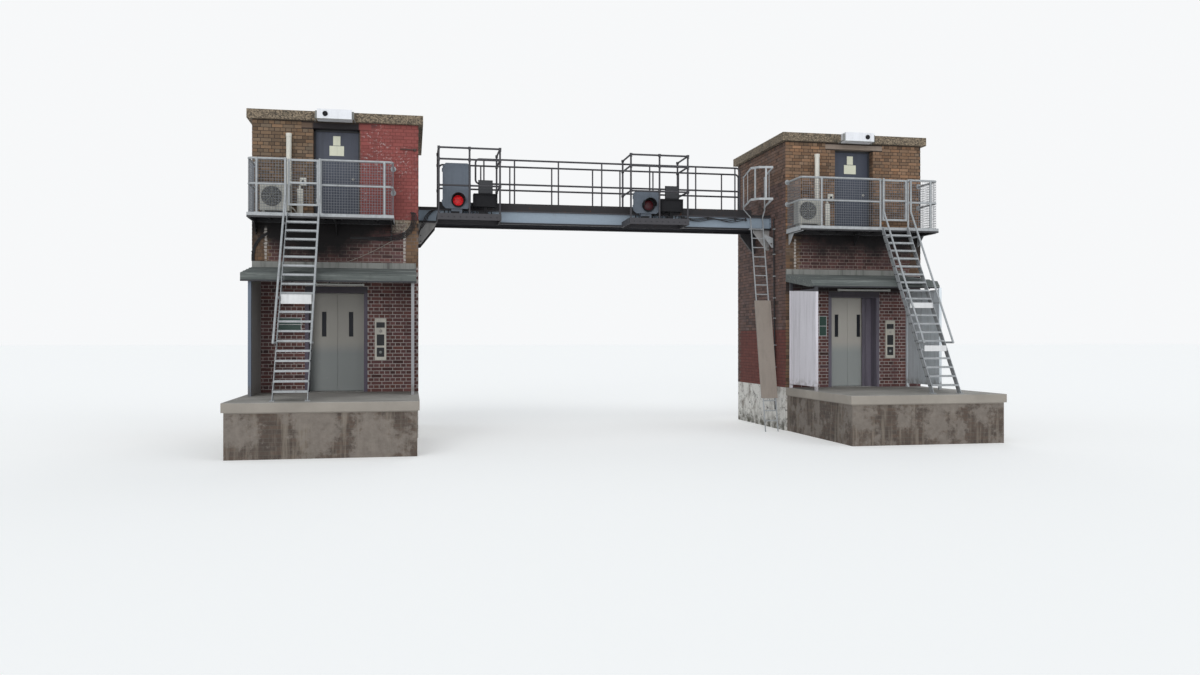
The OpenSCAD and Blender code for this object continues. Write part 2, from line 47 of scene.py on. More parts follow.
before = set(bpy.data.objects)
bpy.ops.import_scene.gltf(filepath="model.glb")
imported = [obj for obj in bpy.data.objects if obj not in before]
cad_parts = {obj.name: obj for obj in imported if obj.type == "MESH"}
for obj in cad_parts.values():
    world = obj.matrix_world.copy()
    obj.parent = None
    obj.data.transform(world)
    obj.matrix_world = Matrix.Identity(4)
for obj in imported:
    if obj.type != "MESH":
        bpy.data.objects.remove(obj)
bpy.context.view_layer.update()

STRUCTURE = "structure"
FORWARD = (0, -1, 0)
UPWARD = (0, 0, 1)

# Plan of the towers, in metres. X is 0 midway between them and Y is 0 at their front walls.
CENTRE = 5.88
TOWERS = {"left": -CENTRE, "right": CENTRE}
WALL_WIDTH = 3.4
WALL_DEPTH = 3.3
DOOR_HALF = 0.48
JAMB_DEPTH = 0.185
PIER_WIDTH = 0.28

# Holes in a front wall for the lift doorway, the upper doorway and its lintel, from the left corner
LIFT_HOLE = (1.06, 2.34)
DOOR_HOLE = (1.22, 2.18)
LINTEL_HOLE = (0.985, 2.415)

# Red paint: its left edge beside the left motor room, and its start and top on the right tower's side
RED_FRONT_LEFT = -5.42
RED_SIDE_START = 0.27
RED_SIDE_TOP = 2.28

# Levels above the ground
LANDING_TOP = 1.0
LIFT_HOLE_TOP = 3.23
CANOPY_LOW = 3.25
CANOPY_TOP = 3.61
DECK_LOW = 4.558
DECK_TOP = 4.66
DOOR_TOP = 6.57
BRICK_TOP = 6.71

# Balcony rails: levels of the middle and top tubes, half a tube, and the posts from the left
RAIL_LEVELS = (DECK_TOP + 0.58, DECK_TOP + 1.09)
HALF_TUBE = 0.021
POSTS = {"left": (-7.37, -6.81, -6.13, -4.87), "right": (4.705, 6.13, 6.81, 7.37)}

# Stairs: 19 treads and the step onto the deck, which run out 2.15 m from the deck's edge
STAIR_TOP = -0.91
STAIR_RUN = 2.15
RISERS = 20
TREADS = [LANDING_TOP + i * (DECK_TOP - LANDING_TOP) / RISERS for i in range(1, RISERS)]

# Air conditioning units: left sides, width, foot and top, middle of the fan, and trunking beside them
UNITS = {"left": -7.37, "right": 4.32}
UNIT_WIDTH = 0.58
UNIT_FOOT = 4.76
UNIT_TOP = 5.30
FAN_IN = 0.235
FAN_LEVEL = 5.05
TRUNKING = {"left": -6.62, "right": 5.20}

# Lift leaves: from the middle of a closed door to a vision slit, and the slit's ends
SLIT_OUT = 0.280
SLIT_FOOT = 2.172
SLIT_TOP = 2.708

# Gantry: Y of both girders and the middle of their webs, level of the foot plates under the posts,
# top of the trays below the cages, and the middle of each cage
GIRDER_LINES = (1.0, 1.95)
GIRDER_MIDDLE = 4.90
POST_FOOT = 5.098
TRAY_TOP = 4.855
CAGES = {"left": -3.08, "right": 1.20}


# Settings


def length_setting(name, description, value):
    return bpy.props.FloatProperty(name=name, description=description, default=value, unit="LENGTH")


class TOWERS_PG_sizes(bpy.types.PropertyGroup):
    """Sizes of the pieces that are laid over the frame"""

    brick_length: length_setting("Brick length", "A stretcher with its joint", 0.225)
    course: length_setting("Course height", "A brick with its bed joint", 0.075)
    joint: length_setting("Joint width", "Width of the mortar joints", 0.012)
    proud: length_setting("Brick relief", "How far a brick stands out", 0.004)
    mesh_pitch: length_setting("Mesh pitch", "Distance between the infill wires", 0.055)
    wire: length_setting("Wire thickness", "Thickness of the infill wires", 0.0075)


def colour_setting(name, description, value):
    return bpy.props.FloatVectorProperty(
        name=name, description=description, default=value, subtype="COLOR", size=3, min=0.0, max=1.0
    )


class TOWERS_PG_colours(bpy.types.PropertyGroup):
    """Colours of the finishes, as linear values"""

    brown_brick: colour_setting("Brown brick", "Weathered bricks near the roof", (0.196, 0.116, 0.068))
    red_brick: colour_setting("Red brick", "Sheltered bricks by the lift doorways", (0.122, 0.056, 0.052))
    side_brick: colour_setting("Side brick", "Sooty bricks of sides and backs", (0.114, 0.067, 0.056))
    red_paint: colour_setting("Red paint", "Painted bricks beside a motor room", (0.235, 0.062, 0.055))
    light_mortar: colour_setting("Light mortar", "Clean mortar below the canopies", (0.55, 0.50, 0.47))
    dark_mortar: colour_setting("Dark mortar", "Weathered mortar of the open walls", (0.042, 0.029, 0.023))
    aggregate: colour_setting("Roof aggregate", "Exposed stones of the roof bands", (0.21, 0.165, 0.115))
    canopy: colour_setting("Canopy", "Weathered covering of the canopies", (0.105, 0.118, 0.112))
    galvanised: colour_setting("Galvanised steel", "Rails, stairs and ladder", (0.36, 0.375, 0.385))
    girder: colour_setting("Girder paint", "Blue-grey paint of the girders", (0.245, 0.300, 0.360))
    tube: colour_setting("Gantry tube", "Dark tubes of the gantry rails", (0.040, 0.038, 0.044))
    stainless: colour_setting("Lift leaf", "Brushed leaves of the lift doors", (0.33, 0.315, 0.285))
    surround: colour_setting("Door surround", "Dark purple-brown paint", (0.070, 0.052, 0.085))


SIZES = None
COLOURS = None


# Shader maths


class Wire:
    """One value or colour inside a material, so that shader maths reads as sums and products"""

    def __init__(self, shade, socket):
        self.shade = shade
        self.socket = socket

    def maths(self, operation, *values):
        return self.shade.node("Math", {"operation": operation}, dict(enumerate(values)))

    def __add__(self, other):
        return self.maths("ADD", self, other)

    def __radd__(self, other):
        return self.maths("ADD", other, self)

    def __sub__(self, other):
        return self.maths("SUBTRACT", self, other)

    def __rsub__(self, other):
        return self.maths("SUBTRACT", other, self)

    def __mul__(self, other):
        return self.maths("MULTIPLY", self, other)

    def __abs__(self):
        return self.maths("ABSOLUTE", self)

    def __gt__(self, other):
        return self.maths("GREATER_THAN", self, other)

    def __lt__(self, other):
        return self.maths("LESS_THAN", self, other)

    def fraction(self):
        return self.maths("FRACT", self)

    def rise(self, low, high):
        """0 below low, 1 above high and a soft edge between them"""
        return self.shade.node(
            "MapRange",
            {"interpolation_type": "SMOOTHSTEP"},
            {"Value": self, "From Min": low, "From Max": high, "To Min": 0.0, "To Max": 1.0},
        )

    def fall(self, low, high):
        """1 below low and 0 above high"""
        return 1.0 - self.rise(low, high)

    def between(self, low, inner_low, inner_high, high):
        """1 between the inner values and 0 beyond the outer ones"""
        return self.rise(low, inner_low) * self.fall(inner_high, high)


class Shade:
    """A material with one Principled shader"""

    def __init__(self, name):
        self.material = bpy.data.materials.new(name)
        self.material.use_nodes = True
        self.tree = self.material.node_tree
        self.tree.nodes.clear()
        output = self.tree.nodes.new("ShaderNodeOutputMaterial")
        self.shader = self.tree.nodes.new("ShaderNodeBsdfPrincipled")
        self.tree.links.new(self.shader.outputs[0], output.inputs[0])
        self.place = self.node("TexCoord", out="Object")

    def node(self, kind, settings=None, values=None, out=0):
        """Adds a node, with its settings first and then the values or links of its sockets"""
        made = self.tree.nodes.new("ShaderNode" + kind)
        for key, value in (settings or {}).items():
            setattr(made, key, value)
        for key, value in (values or {}).items():
            self.put(made.inputs[key], value)
        return Wire(self, made.outputs[out])

    def put(self, socket, value):
        if isinstance(value, Wire):
            self.tree.links.new(value.socket, socket)
        elif isinstance(value, (tuple, Color)) and len(value) == 3 and len(socket.default_value) == 4:
            socket.default_value = (*value, 1.0)
        else:
            socket.default_value = value

    def set(self, **values):
        for key, value in values.items():
            self.put(self.shader.inputs[key.replace("_", " ").title().replace("Ior", "IOR")], value)

    def stretched(self, x, y, z):
        return self.node("Mapping", values={"Vector": self.place, "Scale": (x, y, z)})

    def noise(self, scale, detail=4.0, rough=0.6, at=None):
        values = {"Vector": at or self.place, "Scale": scale, "Detail": detail, "Roughness": rough}
        return self.node("TexNoise", values=values)

    def cells(self, scale, at=None, feature="F1", out="Distance"):
        values = {"Vector": at or self.place, "Scale": scale}
        return self.node("TexVoronoi", {"feature": feature}, values, out)

    def grey(self, colour):
        return self.node("SeparateColor", values={0: colour})

    def mix(self, low, high, factor):
        settings = {"data_type": "RGBA", "clamp_factor": True}
        return self.node("Mix", settings, {0: factor, 6: low, 7: high}, 2)

    def coats(self, base, *coats):
        """Lays colours over a base, each of them where its mask is 1"""
        for colour, mask in coats:
            base = self.mix(base, colour, mask)
        return base

    def tint(self, colour, by):
        """Multiplies a colour by a value near 1"""
        grey = self.node("CombineColor", values={0: by, 1: by, 2: by})
        settings = {"data_type": "RGBA", "blend_type": "MULTIPLY"}
        return self.node("Mix", settings, {0: 1.0, 6: colour, 7: grey}, 2)

    def bump(self, height, strength=0.5, distance=0.002):
        return self.node("Bump", values={"Height": height, "Strength": strength, "Distance": distance})

    def axis(self, name):
        return self.node("SeparateXYZ", values={0: self.place}, out=name)

    def axes(self):
        return [self.axis(name) for name in "XYZ"]

    def from_centre(self):
        """Distance along X from the middle of the nearer tower"""
        return abs(abs(self.axis("X")) - CENTRE)

    def front(self):
        """1 on the front walls and 0 behind them"""
        return self.axis("Y").fall(0.02, 0.05)


# Finishes

PAINTERS = {}
MADE = {}


def painter(paint):
    """Lists a function as the painter of the finish with its name"""
    PAINTERS[paint.__name__] = paint
    return paint


def material(name):
    """Each material is made once, as a coated sheet or by the painter with its name"""
    if name not in MADE:
        shade = Shade(name)
        if name in SHEETS:
            coated_sheet(shade, *SHEETS[name])
        else:
            PAINTERS[name](shade)
        MADE[name] = shade.material
    return MADE[name]


def scaled(colour, by):
    return tuple(min(1.0, c * by) for c in colour)


def streaks(s, scale=2.2, low=0.45, high=0.75):
    """Rain streaks that run down a wall"""
    return s.noise(scale, 5.0, 0.65, s.stretched(3.0, 3.0, 0.22)).rise(low, high)


def soot_and_shade_below_balcony(s):
    """Soot and painted shade under the balconies: 0 on clean brick, 1 where the wall is black"""
    x, z = s.axis("X"), s.axis("Z")
    left, right = x < 0.0, x > 0.0
    ragged = z + s.noise(2.6, 5.0, 0.7) - 0.5 - x.rise(-6.0, -4.7) * left * 0.62 + left * 0.22
    ragged = ragged - x.fall(-7.30, -6.80) * 0.35 - right * (0.36 - x.rise(4.70, 5.10) * 0.24)
    corners = x.rise(-4.80, -4.44) * left + right * x.fall(4.36, 4.46)
    soot = s.front() * ragged.rise(3.55, 4.35) * z.between(3.70, 3.74, 4.60, 4.66)
    return soot * (1.0 - corners * 0.75)


def ragged_joints(s):
    """Whitish mortar smeared over the upright joints beside the corner piers"""
    x, z = s.axis("X"), s.axis("Z")
    wander = (s.noise(16.0, 5.0, 0.75) - 0.5) * 0.09
    lines = [(x - at + wander).between(-0.032, -0.016, 0.016, 0.032) for at in (-7.31, -4.47, 4.41)]
    course = ((z - LANDING_TOP) * (1.0 / SIZES.course)).fraction()
    smears = course.between(0.05, 0.30, 0.86, 1.0) * s.noise(9.0, 4.0).rise(0.30, 0.44)
    return sum(lines) * s.front() * z.between(3.72, 3.80, 4.38, 4.50) * smears


def soot_and_shade_below_canopy(s):
    """Soot and painted shade on the front wall of the right tower just below its canopy"""
    z = s.axis("Z")
    ragged = z + (s.noise(5.0, 4.0) - 0.5) * 0.10
    height = ragged.rise(3.12, 3.27) * z.fall(CANOPY_TOP - 0.01, CANOPY_TOP + 0.01)
    return s.front() * s.axis("X").rise(4.184, 4.186) * height * 0.88


def cement_patch(s):
    """Pale cement smeared on the wall between the left balcony and the cables"""
    wander = (s.noise(9.0, 5.0, 0.75) - 0.5) * 0.12
    z = s.axis("Z")
    across = (s.axis("X") + wander).between(-4.76, -4.70, -4.38, -4.30)
    upright = (z + wander).rise(4.36, 4.43) * z.fall(4.655, 4.672)
    return across * upright * s.front() * s.noise(20.0, 6.0, 0.75).rise(0.34, 0.64)


def red_wall(s, right_edge):
    """The painted part of the left tower's front, beside its motor room door"""
    x, soft = s.axis("X"), 0.01
    across = x.between(RED_FRONT_LEFT - soft, RED_FRONT_LEFT + soft, right_edge - soft, right_edge + soft)
    return s.front() * across * s.axis("Z").rise(DECK_TOP, DECK_TOP + 0.02)


@painter
def brickwork(s):
    own = s.node("Attribute", {"attribute_name": "brick_colour"}, out="Color")
    grain = s.noise(60.0, 5.0, 0.7)
    painted = red_wall(s, -4.16)
    scuffs = s.noise(15.0, 6.0, 0.8).rise(0.545, 0.60) * s.noise(1.3, 3.0).rise(0.44, 0.58)
    base = s.coats(
        s.tint(own, 0.62 + grain * 0.5 + s.noise(1.4, 4.0, 0.6) * 0.28),
        ((0.035, 0.030, 0.028), streaks(s, 1.6, 0.52, 0.82) * 0.45),
        ((0.42, 0.37, 0.31), s.noise(9.0, 6.0, 0.75).rise(0.64, 0.78) * 0.22),
        ((0.40, 0.33, 0.32), scuffs * painted * 0.8),
        ((0.050, 0.030, 0.034), s.noise(2.3, 5.0).rise(0.55, 0.70) * painted * 0.6),
        # Soot and painted shade under the balconies
        ((0.0035, 0.003, 0.0035), soot_and_shade_below_balcony(s) * 0.98),
        # Soot and painted shade below the right canopy
        ((0.012, 0.009, 0.010), soot_and_shade_below_canopy(s)),
        ((0.32, 0.28, 0.225), cement_patch(s)),
        ((0.44, 0.41, 0.38), ragged_joints(s) * 0.85),
    )
    relief = s.bump(grain + s.noise(18.0, 3.0) * 0.6, 0.55, 0.004)
    s.set(base_color=base, roughness=0.82 + grain * 0.12, normal=relief)


@painter
def mortar(s):
    """Pale below the canopies, brown beside the piers and dark on the open walls"""
    x, y, z = s.axes()
    from_centre, half = s.from_centre(), WALL_WIDTH / 2
    within_corners = from_centre.fall(half - 0.007, half - 0.003)
    beside_screen = x.between(4.0, 4.1, 4.270, 4.276) * z.fall(CANOPY_TOP - 0.01, CANOPY_TOP + 0.01)
    sheltered = s.front() * within_corners * z.fall(3.9, 4.5) * (1.0 - beside_screen)
    piers = from_centre.rise(half - 0.29, half - 0.27)
    above_canopy = sheltered * z.rise(CANOPY_TOP - 0.01, CANOPY_TOP + 0.09)
    red_side = x.between(4.0, 4.1, 4.2, 4.3) * z.fall(RED_SIDE_TOP - 0.04, RED_SIDE_TOP + 0.02)
    red_side = red_side * y.rise(RED_SIDE_START - 0.01, RED_SIDE_START + 0.03)
    grain = s.noise(45.0, 6.0, 0.75)
    base = s.coats(
        COLOURS.dark_mortar,
        (COLOURS.light_mortar, sheltered),
        ((0.29, 0.22, 0.185), above_canopy * 0.85),
        ((0.105, 0.070, 0.048), above_canopy * piers),
        (scaled(COLOURS.red_paint, 0.80), red_wall(s, -4.18)),
        ((0.085, 0.026, 0.020), red_side),
    )
    base = s.coats(
        s.tint(base, 0.6 + grain * 0.6),
        ((0.03, 0.026, 0.024), streaks(s) * 0.5),
        # Soot and painted shade under the balconies
        ((0.0035, 0.003, 0.0035), soot_and_shade_below_balcony(s) * 0.98),
        # Soot and painted shade below the right canopy
        ((0.008, 0.007, 0.008), soot_and_shade_below_canopy(s)),
        ((0.17, 0.145, 0.115), cement_patch(s)),
        ((0.50, 0.47, 0.43), ragged_joints(s)),
    )
    s.set(base_color=base, roughness=0.93, normal=s.bump(grain, 0.6, 0.004))


@painter
def render_coat(s):
    """Blotched cement render with cracks and a dirty foot"""
    blotch = s.noise(2.6, 6.0, 0.7)
    wander = s.node("TexNoise", values={"Vector": s.place, "Scale": 3.0}, out="Color")
    bent = s.node("VectorMath", {"operation": "ADD"}, {0: s.place, 1: wander})
    cracks = s.cells(2.2, bent, "DISTANCE_TO_EDGE").fall(0.006, 0.022)
    base = s.coats(
        (0.62, 0.605, 0.57),
        ((0.230, 0.208, 0.180), blotch.rise(0.47, 0.70)),
        ((0.035, 0.030, 0.025), cracks * 0.8),
        ((0.07, 0.065, 0.045), s.axis("Z").fall(0.0, 0.45) * s.noise(5.0).rise(0.35, 0.65)),
    )
    relief = s.bump(blotch + s.noise(30.0) * 0.3 - cracks, 0.7, 0.01)
    s.set(base_color=base, roughness=0.9, normal=relief)


@painter
def concrete(s):
    fine, broad = s.noise(38.0, 6.0, 0.7), s.noise(1.3, 5.0, 0.6)
    base = s.mix((0.235, 0.220, 0.200), (0.34, 0.325, 0.30), broad.rise(0.35, 0.7))
    base = s.mix(s.tint(base, 0.72 + fine * 0.5), (0.06, 0.055, 0.048), streaks(s, 1.8, 0.5, 0.8) * 0.6)
    s.set(base_color=base, roughness=0.88, normal=s.bump(fine, 0.4, 0.004))


@painter
def lintel_stone(s):
    """The left lintel is nearly black with painted shadow, the right one is the colour of its concrete"""
    fine, x = s.noise(38.0, 6.0, 0.7), s.axis("X")
    base = s.coats(
        (0.130, 0.086, 0.060),
        # Painted shadow over the middle of the left lintel
        ((0.020, 0.016, 0.018), x.rise(-6.40, -6.34)),
        (COLOURS.red_paint, x.rise(-5.44, -5.40)),
        ((0.270, 0.215, 0.175), x.rise(-0.5, 0.5)),
    )
    base = s.mix(s.tint(base, 0.7 + fine * 0.5), (0.03, 0.026, 0.024), streaks(s, 1.8, 0.5, 0.8) * 0.5)
    s.set(base_color=base, roughness=0.88, normal=s.bump(fine, 0.4, 0.004))


@painter
def landing_stone(s):
    """Worn paving on top, dark damp brickwork and old coping on the faces below"""
    x, y, z = s.axes()
    fine, broad = s.noise(42.0, 6.0, 0.7), s.noise(0.9, 5.0, 0.6)
    top = s.mix((0.25, 0.235, 0.21), (0.37, 0.35, 0.32), broad.rise(0.3, 0.7))
    values = {
        "Vector": s.node("CombineXYZ", values={0: x + y, 1: z, 2: 0.0}),
        "Color1": (0.085, 0.060, 0.046),
        "Color2": (0.060, 0.046, 0.038),
        "Mortar": (0.078, 0.066, 0.054),
        "Scale": 1.0,
        "Mortar Size": 0.006,
        "Brick Width": SIZES.brick_length,
        "Row Height": SIZES.course,
    }
    courses = s.node("TexBrick", {"offset": 0.5}, values, "Color")
    skim = s.tint((0.185, 0.160, 0.138), 0.45 + s.noise(9.0, 6.0, 0.75) * 1.1)
    base = s.coats(
        s.tint(courses, 0.65 + s.noise(14.0, 5.0) * 0.9),
        ((0.20, 0.170, 0.138), streaks(s, 2.5, 0.46, 0.72)),
        (skim, s.noise(1.7, 6.0, 0.72).rise(0.44, 0.56) * 0.85),
        (s.tint((0.29, 0.262, 0.228), 0.6 + broad * 0.8), z.rise(0.80, 0.82)),
        (s.tint(top, 0.74 + fine * 0.5), z.rise(0.985, 0.995)),
    )
    s.set(base_color=base, roughness=0.9, normal=s.bump(fine + s.noise(8.0) * 0.5, 0.5, 0.006))


@painter
def aggregate(s):
    """Exposed stones on the edge band, old felt on the flat of the roof inside it"""
    gaps = s.cells(42.0)
    flat = s.axis("Z").between(6.80, 6.82, 6.872, 6.882) * s.axis("Y").between(0.145, 0.149, 3.251, 3.255)
    flat = flat * s.from_centre().fall(1.551, 1.554)
    felt = s.tint((0.105, 0.108, 0.104), 0.65 + s.noise(1.3, 6.0, 0.7) * 0.55 + s.noise(60.0, 3.0) * 0.2)
    felt = s.mix(felt, (0.045, 0.050, 0.040), s.noise(2.2, 5.0, 0.7).rise(0.52, 0.66) * 0.7)
    base = s.coats(
        s.tint(COLOURS.aggregate, 0.45 + s.grey(s.cells(42.0, out="Color")) * 1.1),
        ((0.055, 0.045, 0.035), gaps.rise(0.45, 0.85)),
        ((0.05, 0.048, 0.036), s.noise(3.0, 5.0).rise(0.52, 0.72) * 0.7),
        ((0.30, 0.29, 0.20), s.noise(7.0, 5.0, 0.8).rise(0.66, 0.76) * 0.5),
        (felt, flat),
    )
    relief = s.bump((1.0 - gaps) * (1.0 - flat * 0.9), 0.9, 0.008)
    s.set(base_color=base, roughness=0.92, normal=relief)


@painter
def canopy_cover(s):
    """Old felt with pale worn lines along it and a dark underside"""
    fine = s.noise(24.0, 6.0, 0.7)
    worn = s.noise(2.4, 6.0, 0.72, s.stretched(0.30, 5.0, 9.0)).rise(0.50, 0.64)
    dark = s.noise(3.1, 5.0, 0.7, s.stretched(0.25, 7.0, 12.0)).rise(0.50, 0.64)
    base = s.coats(
        s.tint(COLOURS.canopy, 0.74 + fine * 0.42),
        ((0.215, 0.230, 0.218), worn * 0.75),
        ((0.048, 0.056, 0.052), dark * 0.6),
        ((0.045, 0.055, 0.048), s.noise(4.0, 5.0).rise(0.55, 0.75) * 0.6),
        ((0.040, 0.038, 0.040), s.axis("Z").fall(3.262, 3.275)),
    )
    s.set(base_color=base, roughness=0.78, normal=s.bump(fine + s.noise(2.5) * 2.0, 0.5, 0.006))


def spangled(s):
    """Grey of the zinc's crystals, and their colour with rain streaks"""
    grey = s.grey(s.cells(26.0, out="Color"))
    base = s.tint(COLOURS.galvanised, 0.80 + grey * 0.22 + s.noise(3.0, 4.0) * 0.16)
    return grey, s.mix(base, (0.13, 0.12, 0.11), streaks(s, 4.0, 0.55, 0.8) * 0.5)


@painter
def galvanised(s):
    grey, base = spangled(s)
    s.set(base_color=base, metallic=0.25, roughness=0.50 + grey * 0.12)
    s.set(normal=s.bump(s.noise(50.0), 0.10, 0.001))


@painter
def deck_channel(s):
    """Galvanised deck; soot and painted shade on the inner faces seen only from below, painted shade on the
    knee brackets and a painted shadow low on the front edge
    """
    x, y, z = s.axes()
    sides = x.between(-7.553, -7.551, -4.689, -4.687) + x.between(4.202, 4.204, 7.551, 7.553)
    inside = sides * y.rise(-0.843, -0.841) * z.between(4.5605, 4.5615, 4.642, 4.646)
    middle = s.from_centre().fall(0.01, 0.02)
    # Painted shade on the knee brackets below the deck
    shaded_brackets = (middle + x.fall(-0.5, 0.5) * (1.0 - middle)) * z.fall(DECK_LOW, DECK_LOW + 0.002)
    soot_and_shade_mask = inside + shaded_brackets * (1.0 - inside)
    # Painted shadow along the lower strip of the front edge
    shadow_strip = z.between(DECK_LOW - 0.002, DECK_LOW, 4.596, 4.599) * y.fall(-0.8465, -0.8445) * (1.0 - soot_and_shade_mask)
    base = s.mix(spangled(s)[1], (0.022, 0.021, 0.023), soot_and_shade_mask + shadow_strip)
    s.set(base_color=base, roughness=0.52 + soot_and_shade_mask * 0.3)


@painter
def bracket_paint(s):
    """The near brackets are pale, the far ones are near black with painted shade"""
    fine, chips = s.noise(34.0, 5.0, 0.65), s.noise(11.0, 6.0, 0.75).rise(0.65, 0.71)
    # Painted shade: the far brackets are near black
    base = s.mix((0.320, 0.312, 0.306), (0.030, 0.028, 0.032), s.axis("Y").rise(1.2, 1.4))
    base = s.coats(
        s.tint(base, 0.86 + fine * 0.22),
        ((0.10, 0.095, 0.09), streaks(s, 3.0) * 0.45),
        ((0.12, 0.05, 0.024), chips),
    )
    s.set(base_color=base, roughness=0.6 + chips * 0.25, normal=s.bump(fine, 0.18, 0.002))


@painter
def girder_paint(s):
    """Blue-grey webs with rusty drips, painted shade on the bottom flanges and along the top, and painted
    shade between the girders
    """
    y, z = s.axis("Y"), s.axis("Z")
    fine = s.noise(20.0, 5.0, 0.7)
    drips = s.noise(5.0, 5.0, 0.7, s.stretched(2.5, 1.0, 0.15)).rise(0.54, 0.76) * z.rise(4.88, 5.03)
    base = s.coats(
        s.tint(COLOURS.girder, 0.86 + fine * 0.25),
        ((0.15, 0.12, 0.10), drips * 0.6),
        # Painted shade on the bottom flanges, then along the top under the deck's edge
        ((0.012, 0.011, 0.014), z.fall(4.785, 4.80)),
        ((0.060, 0.055, 0.062), z.rise(5.025, 5.035)),
        ((0.12, 0.05, 0.025), s.noise(9.0, 6.0, 0.8).rise(0.69, 0.73)),
        # Painted shade on the faces between the two girders
        ((0.026, 0.024, 0.030), y.between(1.0015, 1.0035, 1.9465, 1.9485) * 0.95),
    )
    s.set(base_color=base, roughness=0.52 + fine * 0.15, normal=s.bump(fine, 0.15, 0.002))


@painter
def gantry_tube(s):
    coated_sheet(s, COLOURS.tube, 0.2, 0.55, 0.35)


@painter
def stainless(s):
    """Brushed leaves, greyer and scraped below; the right tower's are made brighter as painted light"""
    brushed = s.noise(14.0, 4.0, 0.5, s.stretched(14.0, 1.0, 0.5))
    smear = s.noise(2.2, 4.0, 0.6)
    low = s.axis("Z").fall(1.78, 2.10)
    scrapes = s.noise(5.0, 6.0, 0.75, s.stretched(1.0, 1.0, 3.0)).rise(0.62, 0.72) * low
    base = s.coats(
        s.tint(COLOURS.stainless, 0.86 + brushed * 0.14 + smear * 0.12),
        ((0.205, 0.225, 0.225), low * 0.8),
        ((0.33, 0.33, 0.32), scrapes * 0.4),
    )
    # Painted light: the right tower's leaves are made half as bright again
    base = s.tint(base, 1.0 + s.axis("X").rise(-0.5, 0.5) * 0.5)
    s.set(base_color=base, metallic=0.20, roughness=0.46 + smear * 0.18)
    s.set(normal=s.bump(brushed, 0.08, 0.001))


@painter
def surround_paint(s):
    # Painted light: the right tower's surround is made lighter
    colour = s.mix(COLOURS.surround, (0.150, 0.135, 0.170), s.axis("X").rise(-0.5, 0.5))
    broad = s.noise(2.0, 4.0, 0.6)
    base = s.coats(
        s.tint(colour, 0.80 + s.noise(34.0, 5.0, 0.65) * 0.18 + broad * 0.22),
        ((0.020, 0.017, 0.024), streaks(s, 3.0) * 0.5),
        # Painted shade on the door heads below the canopies
        ((0.024, 0.018, 0.022), s.axis("Z").rise(3.08, 3.12) * 0.75),
    )
    s.set(base_color=base, roughness=0.42 + broad * 0.15)


@painter
def side_screens(s):
    """Beige and purple screens on the left tower, white and grey ones on the right tower; painted shade along
    the white one's top, and the grey one made lighter as painted light
    """
    x, y, z = s.axes()
    fine, broad = s.noise(34.0, 5.0, 0.65), s.noise(2.0, 4.0, 0.6)
    # Painted shade along the top of the white screen
    shaded_top = (z - y * 0.058).rise(3.236, 3.244) * x.between(-0.2, 0.2, 5.6, 5.8)
    post = s.mix((0.120, 0.150, 0.200), (0.27, 0.27, 0.28), x.rise(-6.0, -5.8))
    base = s.coats(
        (0.235, 0.225, 0.215),
        ((0.060, 0.046, 0.072), x.rise(-6.0, -5.8)),
        ((0.60, 0.58, 0.62), x.rise(-0.2, 0.2)),
        # Painted light: the grey screen is made much lighter than its grey paint
        ((0.700, 0.750, 0.785), x.rise(5.6, 5.8)),
        ((0.022, 0.022, 0.028), shaded_top),
        (post, y.fall(-1.303, -1.297) * (x < 0.0)),
    )
    base = s.coats(
        s.tint(base, 0.80 + fine * 0.18 + broad * 0.22),
        ((0.10, 0.095, 0.09), streaks(s, 3.0) * 0.28),
        ((0.14, 0.125, 0.105), z.fall(1.09, 1.28) * s.noise(8.0, 5.0).rise(0.4, 0.6) * 0.6),
    )
    s.set(base_color=base, roughness=0.48 + broad * 0.18, normal=s.bump(fine, 0.18, 0.002))


@painter
def slit_glass(s):
    base = s.tint((0.020, 0.022, 0.028), 0.7 + s.noise(3.0) * 0.6)
    s.set(base_color=base, roughness=0.34 + s.noise(20.0) * 0.10, specular_ior_level=0.15)


def lamp_rows(s, colour, glow):
    """Many small lamps in rows behind red glass"""
    dots = s.cells(55.0).fall(0.25, 0.55)
    gap = (s.axis("Z") * 32.0).fraction().between(0.62, 0.70, 0.90, 0.98)
    lit = (dots * 0.6 + 0.4) * (1.0 - gap * 0.85)
    s.set(base_color=s.mix(scaled(colour, 0.15), colour, lit), roughness=0.5 + dots * 0.1)
    s.set(emission_color=s.mix((0.02, 0.0, 0.0), (1.0, 0.012, 0.020), lit), emission_strength=glow)


@painter
def red_lens(s):
    lamp_rows(s, (0.62, 0.010, 0.014), 0.52)


@painter
def dark_lens(s):
    lamp_rows(s, (0.085, 0.010, 0.018), 0.02)


@painter
def tube_light(s):
    ends = s.noise(6.0, 3.0)
    s.set(base_color=s.tint((0.66, 0.66, 0.63), 0.85 + ends * 0.2), roughness=0.35 + ends * 0.1)


def coated_sheet(s, colour, dirt, rough, rust=0.0):
    """Painted or coated sheet with rain streaks, dust and a few rusty chips"""
    fine, broad = s.noise(34.0, 5.0, 0.65), s.noise(2.0, 4.0, 0.6)
    base = s.tint(colour, 0.80 + fine * 0.18 + broad * 0.22)
    base = s.mix(base, scaled(colour, 0.32), streaks(s, 3.0) * dirt)
    if rust:
        chips = s.noise(11.0, 6.0, 0.75).rise(0.68 - rust * 0.12, 0.74 - rust * 0.1)
        base = s.mix(base, s.mix((0.15, 0.055, 0.022), (0.075, 0.032, 0.018), fine), chips)
        s.set(roughness=rough + chips * 0.25)
    else:
        s.set(roughness=rough + broad * 0.18)
    s.set(base_color=base, normal=s.bump(fine, 0.18, 0.002))


